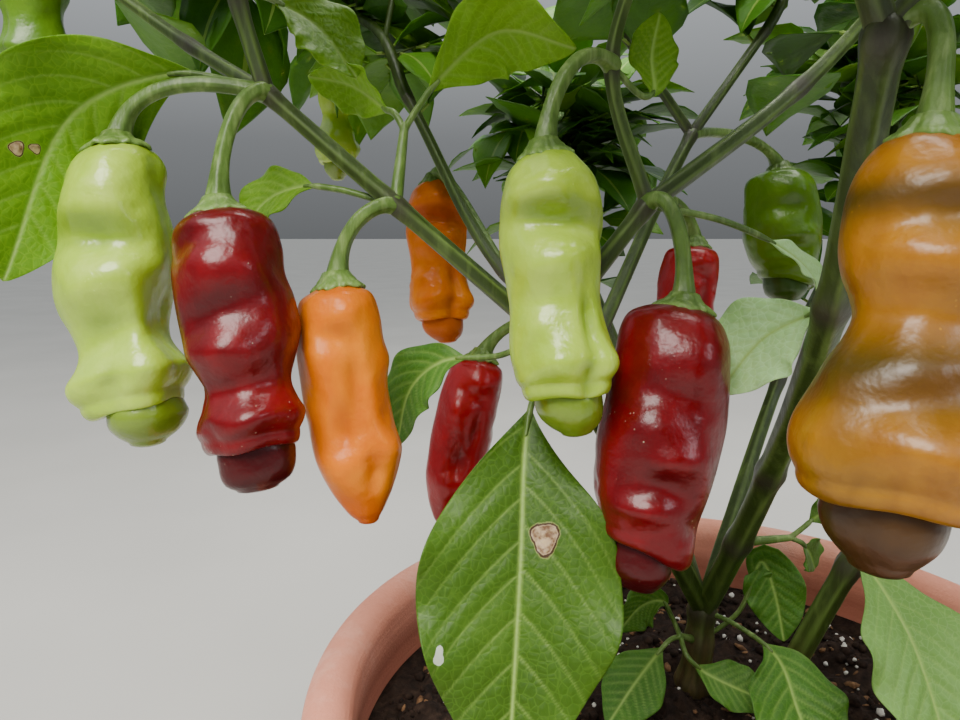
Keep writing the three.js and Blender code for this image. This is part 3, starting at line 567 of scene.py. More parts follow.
# stems and boughs
places = {name: vec(*at) for name, at in {
    "foot": (4, 41, 247.3), "midStem": (5, 41, 272), "lowFork": (6, 42, 290),
    "rightLow": (12, 15, 340), "rightBend": (14, -12, 384), "rightRise": (0, -83, 465),
    "rightFork": (-13, -125, 536), "rightLeftEnd": (-44, -136, 592), "rightOuterEnd": (28, -152, 590),
    "frontBend": (-36, 6, 366), "frontFork": (-88, -41, 450), "leftNode": (-144, -44, 498),
    "leftFork": (-189, -46, 537), "leftUpNode": (-197, -47, 568), "leftUpEnd": (-201, -50, 596),
    "leftOutBend": (-220, -31, 556), "leftOutEnd": (-260, -6, 584), "centreFork": (-52, -46, 498),
    "centreNode": (-65, -37, 548), "centreUpEnd": (-54, -41, 592), "sideNode": (8, -26, 542),
    "sideEnd": (60, 4, 590), "secondFoot": (38, 24, 247.3), "secondBend": (64, 9, 331),
    "secondFork": (106, -6, 430), "farRightEnd": (164, -62, 500), "rightBackEnd": (174, 48, 506),
    "rearFork": (-56, 28, 440), "rearLeftNode": (-100, 48, 468), "rearLeftEnd": (-152, 92, 560),
    "rearMidNode": (-20, 68, 506), "rearMidFork": (0, 86, 540), "rearTopEnd": (42, 102, 596),
    "rearInnerEnd": (-36, 98, 594), "rearRightBend": (64, 104, 402), "rearRightEnd": (128, 162, 492),
    "rearLowBend": (-14, 112, 380), "rearLowEnd": (-42, 172, 464),
}.items()}

limbs = {  # the places that each runs through, its radius at both ends, and whether it flares at the soil
    "main_stem": (("foot", "midStem", "lowFork"), (7.2, 6.6), True),
    "second_stem": (("secondFoot", "secondBend", "secondFork"), (5.8, 4.8), True),
    "bough_right": (("lowFork", "rightLow", "rightBend", "rightRise", "rightFork"), (5.9, 4.9), False),
    "bough_front": (("lowFork", "frontBend", "frontFork"), (5.2, 3.9), False),
    "bough_rear": (("lowFork", "rearFork"), (4.9, 4.0), False),
    "bough_rear_right": (("lowFork", "rearRightBend", "rearRightEnd"), (4.4, 2.9), False),
    "bough_rear_low": (("lowFork", "rearLowBend", "rearLowEnd"), (4.2, 2.8), False),
    "bough_right_inner": (("rightFork", "rightLeftEnd"), (3.9, 2.9), False),
    "bough_right_outer": (("rightFork", "rightOuterEnd"), (3.7, 2.9), False),
    "bough_left": (("frontFork", "leftNode", "leftFork"), (3.5, 3.0), False),
    "bough_left_up": (("leftFork", "leftUpNode", "leftUpEnd"), (3.1, 2.6), False),
    "bough_left_out": (("leftFork", "leftOutBend", "leftOutEnd"), (2.6, 2.2), False),
    "bough_centre": (("frontFork", "centreFork"), (3.7, 3.3), False),
    "bough_centre_up": (("centreFork", "centreNode", "centreUpEnd"), (2.8, 2.2), False),
    "bough_centre_side": (("centreFork", "sideNode", "sideEnd"), (3.4, 2.6), False),
    "bough_far_right": (("secondFork", "farRightEnd"), (4.0, 2.9), False),
    "bough_right_back": (("secondFork", "rightBackEnd"), (4.0, 2.9), False),
    "bough_rear_left": (("rearFork", "rearLeftNode", "rearLeftEnd"), (3.4, 2.7), False),
    "bough_rear_mid": (("rearFork", "rearMidNode", "rearMidFork"), (3.5, 3.1), False),
    "bough_rear_top": (("rearMidFork", "rearTopEnd"), (2.9, 2.4), False),
    "bough_rear_inner": (("rearMidFork", "rearInnerEnd"), (2.8, 2.3), False),
}

bark = {
    "ringStep": 3, "sides": 24, "knuckle": 0.22, "knuckleLength": 9, "flare": 0.55, "flareLength": 22,
    "nodeSwell": 0.2, "nodeReach": 6, "endReach": 7,
    "woodyFrom": 300, "woodyOver": 44, "woodyStripes": (9, 0.25),
    "ridges": 5, "ridgeDepth": 0.065, "ridgeSway": (0.25, 31), "minorRidges": (8, 0.4, 23),
    "green": ("#212e0a", "#334612", "#47621e"), "streak": "#86a452", "knot": "#3a2a30",
    "woody": ("#33270f", "#6b5a34"),
}


def stemFinish():
    finish, tree, shader = newFinish("green_bark", {"Specular IOR Level": 0.4, "Coat Weight": 0.08,
                                                    "Coat Roughness": 0.35})
    base = mottled(tree, noise(tree, 38, 5, 0.6), bark["green"], (0.3, 0.5, 0.75), 0.45)
    streaks = noise(tree, 210, 5, 0.6, stretch=(1, 1, 0.16), distortion=0.4)
    base = mixTones(tree, ramp(tree, streaks, (0.5, 0.0), (0.72, 0.22)), base, bark["streak"])
    base = marked(tree, base, "rib", 0.4, bark["streak"])
    base = marked(tree, base, "knot", 0.62, bark["knot"])
    dark, pale = bark["woody"]
    wood = ramp(tree, noise(tree, 150, 6, 0.7, stretch=(1, 1, 0.25)), (0.35, dark), (0.7, pale))
    base = mixTones(tree, mark(tree, "woody"), base, wood)
    rough = ramp(tree, noise(tree, 120, 3), (0.3, 0.36), (0.75, 0.55))
    grain = noise(tree, 600, 4, 0.6, stretch=(1, 1, 0.2))
    normal = bump(tree, grain, 0.0003, bump(tree, noise(tree, 90, 3), 0.0004))
    connect(tree, shader, colour=base, rough=rough, normal=normal)
    return finish


greenBark = stemFinish()


def makeLimb(name):
    through, (first, last), flared = limbs[name]
    points = [places[p] for p in through]
    path = along(points, step=bark["ringStep"])
    run = runOf(path)
    radius = mix(first, last, run / run[-1])
    radius = radius * (1 + bark["knuckle"] * smooth(1 - (run[-1] - run) / bark["knuckleLength"]))
    knot = hump(run, 0, bark["endReach"]) + hump(run, run[-1], bark["endReach"])
    for p in points[1:-1]:
        away = np.linalg.norm(path - p, axis=1)
        knot = knot + hump(away, 0, bark["nodeReach"])
        radius = radius * (1 + bark["nodeSwell"] * hump(away, 0, bark["nodeReach"]))
    woody = np.zeros_like(run)
    if flared:
        radius = radius * (1 + bark["flare"] * np.clip(1 - run / bark["flareLength"], 0, 1) ** 1.6)
        woody = smooth((bark["woodyFrom"] - path[:, 2]) / bark["woodyOver"])
    phase = (len(name) * 1.7) % 6.28
    depth, (sway, swayLength) = bark["ridgeDepth"], bark["ridgeSway"]
    minorCount, minorShare, minorTurn = bark["minorRidges"]

    def ridge(turn, at):
        twist = turn + sway * np.sin(at / swayLength + phase)
        minor = minorShare * np.cos(minorCount * twist - at / minorTurn)
        return depth * (np.cos(bark["ridges"] * twist + phase) + minor)

    rings = tube(path, radius, bark["sides"], ridge=ridge)
    knot, woody = (np.repeat(np.pad(values, 3, mode="edge")[:, None], bark["sides"], axis=1)
                   for values in (knot, woody))
    turn = roundTurns(bark["sides"])
    count, strength = bark["woodyStripes"]
    stripes = 1 - strength + strength * np.cos(count * turn)
    rib = np.pad(ridge(turn, run[:, None]) / depth, ((3, 3), (0, 0)), mode="edge")
    shape = Shape()
    shape.add(*ringBody(rings), knot=withPoles(np.clip(knot, 0, 1)), woody=withPoles(woody * stripes),
              rib=withPoles(smooth(rib / 1.3)))
    shape.piece("bark_" + name, [greenBark], "stem", name)


for limbName in limbs:
    makeLimb(limbName)
print("stems and boughs:", len(limbs))


# the pods that hang from the boughs
pods = {
    "pod_pale_left": {
        "from": "leftFork", "out": (-34, -2, 8), "top": (-242, -48, 518), "tip": (-231, -67, 413),
        "girth": 39, "form": "paleLeft", "skin": "pale", "calyx": 11.5, "seed": 3},
    "pod_red_left": {
        "from": "leftFork", "out": (-6, -12, 2), "top": (-201, -66, 495), "tip": (-188, -82, 402),
        "girth": 41, "form": "redLeft", "skin": "red", "calyx": 10.5, "seed": 5},
    "pod_orange_left": {
        "from": "leftNode", "out": (-9, -9, 2), "top": (-165, -50, 469), "tip": (-153, -64, 383),
        "girth": 33, "form": "tapered", "skin": "orange", "calyx": 9.5, "seed": 8},
    "pod_pale_centre": {
        "from": "centreNode", "out": (-14, -14, 10), "top": (-91, -62, 514), "tip": (-80, -78, 420),
        "girth": 38, "form": "paleCentre", "skin": "pale", "calyx": 9.5, "seed": 13},
    "pod_red_centre": {
        "from": "centreFork", "out": (6, -12, 10), "top": (-41, -59, 462), "tip": (-57, -76, 363),
        "girth": 43, "form": "redCentre", "skin": "red", "calyx": 10.5, "seed": 21},
    "pod_orange_right": {
        "from": "rightFork", "out": (12, -9, 14), "top": (-9, -142, 509), "tip": (-21, -159, 410),
        "girth": 42, "form": "orangeRight", "skin": "ochre", "calyx": 9.5, "seed": 34},
    "pod_orange_back": {
        "from": "rearLeftNode", "out": (-24, 22, 42), "top": (-138, 102, 516), "tip": (-131, 86, 427),
        "girth": 37, "form": "paleCentre", "skin": "orange", "calyx": 9.5, "seed": 55},
    "pod_red_back": {
        "from": "rearFork", "out": (-22, 22, 16), "top": (-112, 66, 422), "tip": (-131, 49, 332),
        "girth": 35, "form": "tapered", "skin": "scarlet", "calyx": 9.5, "seed": 89},
    "pod_red_rear": {
        "from": "rearMidNode", "out": (10, 12, 2), "top": (6, 91, 481), "tip": (0, 80, 405),
        "girth": 34, "form": "tapered", "skin": "scarlet", "calyx": 9, "seed": 144},
    "pod_green_rear": {
        "from": "rearMidFork", "out": (22, 14, 6), "top": (64, 124, 524), "tip": (70, 112, 448),
        "girth": 38, "form": "redCentre", "skin": "green", "calyx": 9, "seed": 233},
}

# Each form: its body as (share of the length, half its width to the left, and to the right), how far the
# hem of a skirted pod hangs lower to the right, its nose, its dents and swellings as (share of the length,
# degrees round from the right by the front, reach along, reach round, height), and its darker bands as
# (share of the length, reach along, strength): partly the skin's own tone, and partly painted shade and
# dark reflection.
podForms = {
    "paleLeft": {
        "body": ((0.018, 10.5, 10.8), (0.045, 14.4, 12.4), (0.085, 17.2, 12.8), (0.141, 18.8, 12.5),
                 (0.19, 20.2, 12.8), (0.225, 21.8, 13.4), (0.309, 24.7, 14.6), (0.393, 26, 14.4),
                 (0.477, 25.5, 11.5), (0.544, 23.8, 9.2), (0.61, 21, 8.4), (0.676, 19.2, 10.4),
                 (0.742, 20, 14.6), (0.785, 21.4, 16.8), (0.83, 21.4, 15.2), (0.86, 19.4, 12.8)),
        "hemTilt": -2.2,
        "nose": ((0.875, 12.6, 14.2), (0.9, 12.9, 14), (0.926, 12.6, 12.6), (0.955, 10.2, 10),
                 (0.98, 6.6, 6)),
        "dents": ((0.17, 98, 0.08, 55, 2.2), (0.33, 98, 0.065, 60, -4), (0.48, 100, 0.08, 45, 2.6),
                  (0.4, 32, 0.06, 20, 1.2), (0.64, 108, 0.08, 26, -1.8), (0.57, 60, 0.1, 16, 1.2),
                  (0.79, 140, 0.06, 28, 1.8), (0.74, 52, 0.07, 26, 2.2), (0.82, 98, 0.05, 18, -2)),
    },
    "redLeft": {
        "body": ((0.012, 9.5, 11.5), (0.035, 12.8, 15.2), (0.065, 15, 17.4), (0.153, 17.4, 18.8),
                 (0.243, 17.7, 18.4), (0.333, 17.7, 20.4), (0.423, 18.1, 20.8), (0.492, 17.1, 19.8),
                 (0.565, 14.9, 17.2), (0.637, 13.5, 16.2), (0.709, 14.6, 17.8), (0.763, 16.4, 19.4),
                 (0.8, 16.9, 18.8), (0.83, 15.8, 16.8)),
        "hemTilt": -0.4,
        "nose": ((0.85, 11.2, 14), (0.895, 11, 13.6), (0.93, 10.9, 12.8), (0.96, 9.8, 11),
                 (0.982, 7, 7.4)),
        "dents": ((0.13, 120, 0.05, 38, -1.8), (0.23, 70, 0.07, 46, 1.8), (0.385, 92, 0.07, 58, -2.5),
                  (0.53, 84, 0.08, 44, 2.2), (0.65, 100, 0.06, 40, -1.2), (0.66, 150, 0.08, 12, -2),
                  (0.76, 60, 0.06, 30, 1.8), (0.8, 112, 0.05, 18, -1.4)),
    },
    "tapered": {
        "body": ((0.018, 10, 8), (0.05, 14.4, 12), (0.144, 16.5, 13.8), (0.249, 17.8, 13.7),
                 (0.354, 18, 13.1), (0.48, 18, 13), (0.607, 17.4, 13.6), (0.66, 17.2, 14.4),
                 (0.7, 16.8, 14.8), (0.775, 15, 13.2), (0.859, 12.1, 10), (0.915, 9.4, 7.2),
                 (0.95, 7.4, 5.2), (0.976, 5, 3.4)),
        "toneBandsAndPaintedShade": ((1.0, 0.1, 0.7),),
        "dents": ((0.12, 70, 0.06, 35, 1.2), (0.3, 118, 0.12, 22, 1.8), (0.42, 74, 0.16, 14, -1.8),
                  (0.22, 96, 0.05, 30, -1.4), (0.6, 98, 0.1, 18, -2.2), (0.68, 34, 0.07, 28, 1.5),
                  (0.76, 62, 0.08, 16, -1.8), (0.76, 112, 0.09, 24, 1.6)),
    },
    "paleCentre": {
        "body": ((0.011, 9, 9.5), (0.047, 12.9, 12.2), (0.108, 15.3, 15.8), (0.195, 17.8, 17.2),
                 (0.267, 19, 16.8), (0.354, 18.6, 15.3), (0.444, 17.7, 13.6), (0.532, 17.7, 12.7),
                 (0.622, 18.8, 13.5), (0.691, 19.6, 14.7), (0.763, 20.2, 15.6), (0.81, 19.8, 14.8),
                 (0.84, 18, 12.8)),
        "hemTilt": 0.5,
        "nose": ((0.86, 13.3, 9.8), (0.9, 12.7, 9.8), (0.93, 11.2, 9.3), (0.96, 8.4, 8),
                 (0.982, 5.4, 5.6)),
        "dents": ((0.13, 98, 0.07, 45, 2.4), (0.265, 88, 0.06, 62, -4.8), (0.41, 102, 0.08, 42, 2.8),
                  (0.5, 122, 0.08, 28, -1.4), (0.6, 126, 0.07, 22, 1.4), (0.66, 64, 0.14, 11, -2.4),
                  (0.76, 106, 0.07, 26, 2), (0.78, 38, 0.07, 26, 2), (0.82, 74, 0.05, 12, -2.2)),
    },
    "redCentre": {
        "body": ((0.012, 13, 8.6), (0.044, 18.2, 13.2), (0.095, 20.2, 16.1), (0.186, 20.9, 18.3),
                 (0.291, 22.1, 20.1), (0.399, 22.5, 20.9), (0.505, 23.3, 20.4), (0.61, 22.6, 19.2),
                 (0.718, 21.4, 17.2), (0.77, 20.2, 16.8), (0.81, 18.6, 16.8), (0.84, 17, 16.9)),
        "hemTilt": 4.4,
        "nose": ((0.85, 13.6, 10.8), (0.892, 13.2, 10.8), (0.93, 12.4, 10.4), (0.96, 10, 8.8),
                 (0.985, 7, 6.6)),
        "dents": ((0.17, 78, 0.08, 45, 1.4), (0.32, 96, 0.07, 42, -2), (0.42, 126, 0.07, 26, 1.4),
                  (0.44, 56, 0.07, 26, -1.2), (0.52, 88, 0.05, 24, 1.6), (0.62, 96, 0.06, 30, -1.8),
                  (0.74, 114, 0.055, 28, 2.2), (0.74, 52, 0.08, 20, -1.2), (0.82, 60, 0.05, 30, 1)),
    },
    "orangeRight": {
        "body": ((0.023, 11.4, 10), (0.08, 15, 14.6), (0.138, 16.7, 16.8), (0.204, 17.1, 17.8),
                 (0.264, 16.8, 17.6), (0.321, 15.2, 16.2), (0.366, 12.9, 14.2), (0.411, 11.7, 13),
                 (0.468, 13.8, 14.6), (0.526, 18, 18.3), (0.595, 21.6, 21.2), (0.664, 23.6, 22.3),
                 (0.733, 23.8, 22.2), (0.79, 22.6, 20.8), (0.825, 20.6, 18.6)),
        "hemTilt": 0.5,
        "nose": ((0.85, 14, 13.4), (0.883, 13.4, 13), (0.915, 12, 12), (0.94, 10, 10.2), (0.97, 6.8, 7.4)),
        "dents": ((0.2, 98, 0.05, 60, -2.2), (0.31, 92, 0.06, 50, 1.8), (0.6, 94, 0.06, 60, -2.8),
                  (0.74, 92, 0.06, 50, 2), (0.72, 140, 0.05, 20, -1), (0.8, 50, 0.06, 28, 1.2)),
        "toneBandsAndPaintedShade": ((0.16, 0.05, 0.85), (0.54, 0.11, 0.95)),
    },
}

podSkin = {
    "sides": 92, "rowsPerSide": 0.8, "bend": (0.16, math.pi - 0.5), "topWidth": 0.66,
    "lip": 4.6, "hemWave": 0.5, "lobes": 4, "lobeDepth": 0.025, "ribs": 7, "ribDepth": 0.012,
    "lobesFrom": 0.45, "sameWidth": 0.14, "tipBends": (25, 48, 66, 80),
    "hemDrop": (0.6, 0.4), "hemAbove": 0.7, "hemRoll": (14, 166, 12),
    # where the nose comes out of the rolled hem: how far in, how far down in lips, and how far it is nose
    "noseRoot": ((0.8, 0.12, 0.8), (0.2, 0.3, 0.9)), "noseRows": 12, "noseLobes": (0.05, 3),
    # the dents' relief and slants; then how deep a dent takes the full painted shade, and how far above its
    # dip that painted shade lies
    "relief": 1.4, "slants": (0.05, -0.04, 0.07, -0.06), "paintedShadeDepth": 5, "paintedShadeAbove": 0.03, "shoulder": 0.09,
    # how many more dents, and each one's range of what a form's dents say
    "backDents": (9, ((0.08, 0.82), (195, 345), (0.04, 0.1), (20, 50), (-1.8, 1.8))),
    "fineDents": (26, ((0.05, 0.85), (0, 360), (0.015, 0.04), (6, 16), (-0.45, 0.35))),
}
skins = {  # each patch is where the skin ripens first, and its tone also fills the darker bands, partly painted shade and dark reflection; each slot is the record's
    "pale": {"tones": ("#6a8a14", "#a6c830", "#d0ea68"), "nose": "#66801a", "patch": "#98ba26",
             "roughness": 0.26, "shine": 0.6, "slot": "pod_pale"},
    "red": {"tones": ("#2e0105", "#66030b", "#980816"), "nose": "#380205", "patch": "#480207",
            "speck": "#e9dfc0", "roughness": 0.28, "shine": 0.34, "slot": "pod_red"},
    "scarlet": {"tones": ("#5c0208", "#a0060f", "#cc1420"), "nose": "#4c0207", "patch": "#7c040b",
                "roughness": 0.28, "shine": 0.4, "slot": "pod_red"},
    "orange": {"tones": ("#a44402", "#d86e02", "#ee980a"), "nose": "#b45608", "patch": "#c85202",
               "roughness": 0.28, "shine": 0.14, "slot": "pod_orange"},
    "ochre": {"tones": ("#603a04", "#a06404", "#c48a12"), "nose": "#241204", "patch": "#3a3002",
              "roughness": 0.36, "shine": 0.45, "slot": "pod_orange"},
    "green": {"tones": ("#3a5a0c", "#557e12", "#78a222"), "nose": "#33501a", "patch": "#688e10",
              "roughness": 0.3, "shine": 0.4, "slot": "pod_green"},
}


def podFinish(skin):
    finish, tree, shader = newFinish("skin_" + skin, {
        "Roughness": skins[skin]["roughness"], "Specular IOR Level": skins[skin]["shine"],
        "Coat Weight": 0.08, "Coat Roughness": 0.08,
        "Subsurface Weight": 0.1, "Subsurface Scale": 0.004, "Subsurface Radius": (1.0, 0.6, 0.3)})
    tones, patch = skins[skin]["tones"], skins[skin]["patch"]
    low, _, high = tones
    base = mottled(tree, noise(tree, 34, 3, 0.5), tones, (0.28, 0.5, 0.74), 0.5)
    ripe = ramp(tree, noise(tree, 17, 2, 0.5), (0.46, 0.0), (0.68, 0.7))
    base = mixTones(tree, ripe, base, patch)
    veins = ramp(tree, noise(tree, 95, 5, 0.6, stretch=(1, 1, 0.35)), (0.42, 0.0), (0.75, 0.35))
    base = mixTones(tree, veins, base, high)
    # the darker bands: partly the skin's own tone, partly painted shade and dark reflection
    base = mixTones(tree, mark(tree, "tone_band_and_painted_shade"), base, patch)
    dots = ramp(tree, cells(tree, 330), (0.05, 0.45), (0.13, 0.0))
    places = ramp(tree, noise(tree, 60, 2), (0.56, 0.0), (0.64, 1.0))
    specks = mixTones(tree, 1.0, dots, places, "MULTIPLY")
    base = mixTones(tree, specks, base, skins[skin].get("speck", high))
    # painted shade: the low tone laid above each dip, where the skin faces down
    base = marked(tree, base, "painted_fold_shade", 0.8, low)
    base = marked(tree, base, "nose", 0.85, skins[skin]["nose"])
    base = marked(tree, base, "shoulder", 0.35, low)
    normal = bump(tree, noise(tree, 900, 2), 0.00005, bump(tree, noise(tree, 110, 3, 0.5), 0.0009))
    connect(tree, shader, colour=base, normal=normal)
    return finish


podFinishes = {skin: podFinish(skin) for skin in skins}


def girthOf(form):
    return max(left + right for _, left, right in podForms[form]["body"])


def reachAt(rows, t, length, wide, turn):
    # how far out a pod's side lies at each share t of its length, by its widths to the left and to the right
    widths = [vec(share * length, left, right) for share, left, right in rows]
    fine = throughPoints(widths, np.linspace(0, 1, 160))
    left, right = (np.interp(t * length, fine[:, 0], fine[:, k])[:, None] * wide for k in (1, 2))
    side, front = np.cos(turn) ** 2, np.sin(turn) ** 2
    return np.where(np.cos(turn) > 0, right, left) * side + (left + right) / 2 * front


def dented(form, smoothReach, t, wide, draws):
    # the reach with a pod's dents and swellings, and how much painted shade each point takes: darker just
    # above each dip, where the skin faces down
    dents = list(form["dents"])
    for more, ranges in (podSkin["backDents"], podSkin["fineDents"]):
        dents += [[draws.uniform(*span) for span in ranges] for _ in range(more)]
    sides = smoothReach.shape[1]
    degrees = np.arange(sides) * 360 / sides
    reach = smoothReach
    for number, (at, around, tall, broad, height) in enumerate(dents):
        off = (degrees - around + 180) % 360 - 180
        aslant = at + podSkin["slants"][number % 4] * off / 90
        height = podSkin["relief"] * height * wide
        reach = reach + height * hump(t[:, None], aslant, tall) * hump(off, 0, broad)
    # painted shade: the dent's depth a little further down, so the shade lies on the slope above each dip
    below = np.searchsorted(t, t + podSkin["paintedShadeAbove"]).clip(max=len(t) - 1)
    return reach, smooth((smoothReach - reach)[below] / podSkin["paintedShadeDepth"])


def noseRows(form, length, wide, turn, phase, brim, hemLine):
    # rows of (reach, distance down, how far it is nose): the hem rolls under, and the nose comes out of it
    rows, lip = form["nose"], podSkin["lip"] * wide
    root = np.minimum(reachAt(rows, np.array([rows[0][0]]), length, wide, turn)[0], brim - 1.2)
    for a in np.radians(np.linspace(*podSkin["hemRoll"])):
        inward = (1 - math.cos(a)) / 2
        yield mix(brim, root - 0.7, inward), hemLine + lip * math.sin(a), 0.35 * smooth(a / 3 - 0.3)
    for inward, lower, isNose in podSkin["noseRoot"]:
        yield root - inward, hemLine + lower * lip, isNose
    shares = np.linspace(rows[0][0] + 0.012, rows[-1][0], podSkin["noseRows"])
    depth, count = podSkin["noseLobes"]
    reach = reachAt(rows, shares, length, wide, turn) * (1 + depth * np.cos(count * turn + phase))
    for i, share in enumerate(shares):
        yield reach[i], np.maximum(share * length, hemLine + (0.5 + 0.1 * i) * lip), 1.0


def podRings(form, length, wide, seed, sides):
    # how far down and how far out each point of a pod lies, with marks for its nose and for the painted shade
    # above its dips
    draws = np.random.default_rng(seed)
    turn = np.radians(np.arange(sides) * 360 / sides)
    body, top = form["body"], podSkin["topWidth"]
    _, left, right = body[0]
    hem = body[-1][0]
    bend = np.linspace(*podSkin["bend"], round(podSkin["rowsPerSide"] * sides))
    t = hem * (1 - np.cos(bend)) / (1 - math.cos(bend[-1]))  # the rows lie closer together at both ends
    reach = reachAt(((0, left * top, right * top), *body), t, length, wide, turn)
    reach, painted_fold_shade = dented(form, reach, t, wide, draws)
    share, phase = t[:, None] / hem, draws.uniform(0, 6.28)
    lobe = np.cos(podSkin["lobes"] * turn + phase)
    reach = reach * (1 + podSkin["lobeDepth"] * smooth((share - podSkin["lobesFrom"]) / 0.5) * lobe)
    reach = reach * (1 + podSkin["ribDepth"] * np.cos(podSkin["ribs"] * turn + phase + 5 * share))
    down = np.repeat(t[:, None] * length, sides, axis=1)
    more = []
    if "nose" in form:
        hang = form["hemTilt"] * np.cos(turn) + podSkin["hemWave"] * lobe
        dropFrom, dropOver = podSkin["hemDrop"]
        hang = hang - podSkin["hemAbove"] * podSkin["lip"] * wide
        down = down + hang * smooth((share - dropFrom) / dropOver)
        more += noseRows(form, length, wide, turn, phase, reach[-1], down[-1])
    last, end, tipNose = more[-1] if more else (reach[-1], down[-1], 0)
    for a in np.radians(podSkin["tipBends"]):
        more.append((last * math.cos(a), mix(end, length, math.sin(a)), tipNose))
    reach = np.vstack([reach, *(row[0] for row in more)])
    down = np.vstack([down, *(row[1] for row in more)])
    nose = np.clip([0] * len(t) + [row[2] for row in more], 0, 1)
    painted_fold_shade = np.vstack([painted_fold_shade] + [painted_fold_shade[-1:]] * len(more))
    return down, reach, turn, {"nose": np.repeat(nose[:, None], sides, axis=1), "painted_fold_shade": painted_fold_shade}


def podFrame(top, tip):
    # the way down a pod, its front and its right
    way = unit(tip - top)
    front = unit(vec(0, -1, 0) - way * np.dot(vec(0, -1, 0), way))
    return way, front, np.cross(front, way)


def podPiece(name, skin, top, tip, form, wide, seed, sides, spin, *nodes):
    # one pod from its top to its tip: wide stretches its form's width, and spin turns it on its stalk
    way, front, right = podFrame(top, tip)
    length = np.linalg.norm(tip - top)
    down, reach, turn, marks = podRings(podForms[form], length, wide, seed, sides)
    rings = (top + way * down[..., None] + right * (reach * np.cos(turn + spin))[..., None]
             + front * (reach * np.sin(turn + spin))[..., None])
    points, faces = ringBody(rings)
    shape = Shape()
    # darker bands down the pod, partly painted shade and dark reflection
    marks["tone_band_and_painted_shade"] = np.zeros_like(down)
    for at, broad, strength in podForms[form].get("toneBandsAndPaintedShade", ()):
        marks["tone_band_and_painted_shade"] = marks["tone_band_and_painted_shade"] + strength * hump(down / length, at, broad)
    marks["shoulder"] = smooth(1 - down / (podSkin["shoulder"] * length))
    shape.add(points, faces, **{name: withPoles(values) for name, values in marks.items()})
    shape.piece(name, [podFinishes[skin]], skins[skin]["slot"], *nodes)


stalk = {
    "radius": 2.7, "swollen": 6.3, "swellLength": 24, "hook": 18, "sunk": 3, "rings": 46, "sides": 40,
    "foot": 1.35, "footLength": 4, "small": 0.7, "smallFineness": 0.5,
    "ribs": ((0.05, 5, 40), (0.03, 2, 9)), "endRibs": (0.05, 10),
    "frillSides": 110, "frillDepth": 0.75, "frillWaves": ((1, 5), (0.5, 11), (0.35, 19)),
    "ruffles": ((0.5, 5), (0.35, 13)), "edgeRings": (5, 10),
    # the calyx down from the pod's top, and out, as a share of its width and millimetres more
    "calyx": ((-5.2, 0, 4.9), (-3.4, 0, 5.9), (-2.1, 0, 7), (-1.3, 0.78, 0), (-0.6, 0.87, 0), (0.1, 0.94, 0),
              (0.8, 1, 0), (1.5, 1, 0.1), (1.9, 1, -0.3), (1.7, 1, -1), (1.2, 1, -2.4), (0.5, 0, 3.5)),
    "green": ("#425a22", "#587630", "#769448"), "streak": "#a2b874",
}


def stalkFinish():
    finish, tree, shader = newFinish("stalk_green", {"Specular IOR Level": 0.4, "Coat Weight": 0.1,
                                                     "Coat Roughness": 0.3})
    low, middle, high = stalk["green"]
    base = ramp(tree, noise(tree, 60, 5, 0.6), (0.3, low), (0.5, middle), (0.74, high))
    lines = ramp(tree, noise(tree, 320, 4, 0.55, stretch=(1, 1, 0.15)), (0.48, 0.0), (0.72, 0.5))
    base = mixTones(tree, lines, base, stalk["streak"])
    base = marked(tree, base, "edge", 0.6, high)
    rough = ramp(tree, noise(tree, 150, 3), (0.3, 0.34), (0.75, 0.5))
    normal = bump(tree, noise(tree, 420, 4, stretch=(1, 1, 0.3)), 0.0005)
    connect(tree, shader, colour=base, rough=rough, normal=normal)
    return finish


stalkGreen = stalkFinish()


def stalkPiece(name, start, out, top, tip, width, size=1.0):
    # the hooked stalk, and the frilled calyx that sits on the pod's shoulder
    way, front, right = podFrame(top, tip)
    over, into = top - way * stalk["hook"] * size, top + way * stalk["sunk"] * size
    path = bezier(start, start + out, over, into, stalk["rings"])
    run = runOf(path)

    def near(at):
        return np.clip(1 - (run[-1] - at) / (stalk["swellLength"] * size), 0, 1) ** 2.2

    radius = mix(stalk["radius"], stalk["swollen"], near(run))
    radius = size * radius * (1 + (stalk["foot"] - 1) * hump(run, 0, stalk["footLength"]))

    def ridge(turn, at):
        ribs = sum(depth * np.cos(count * turn + at / twist) for depth, count, twist in stalk["ribs"])
        depth, count = stalk["endRibs"]
        return ribs + depth * near(at) * np.cos(count * turn + width)

    fineness = 1 if size == 1 else stalk["smallFineness"]
    rings = tube(path, radius, int(stalk["sides"] * fineness), front, ridge)
    shape = Shape()
    shape.add(*ringBody(rings), edge=withPoles(np.zeros(rings.shape[:2])))
    turn = roundTurns(int(stalk["frillSides"] * fineness))
    wave = sum(depth * np.cos(count * turn + (i + 1) * width)
               for i, (depth, count) in enumerate(stalk["frillWaves"]))
    (major, majorCount), (minor, minorCount) = stalk["ruffles"]
    ruffle = major * np.cos(majorCount * turn + width + 0.8) + minor * np.cos(minorCount * turn + width)
    rings = []
    for down, share, more in stalk["calyx"]:
        reach = share * width + more
        reach = reach + stalk["frillDepth"] * wave * (reach / width) ** 3
        drop = down + stalk["frillDepth"] * ruffle * (reach / width) ** 3
        rings.append(top + size * (way * drop[:, None] + right * (reach * np.cos(turn))[:, None]
                                   + front * (reach * np.sin(turn))[:, None]))
    edge = np.zeros((len(rings), len(turn)))
    edge[slice(*stalk["edgeRings"])] = 1
    shape.add(*ringBody(np.array(rings)), edge=withPoles(edge))
    shape.piece(name, [stalkGreen], "stem")


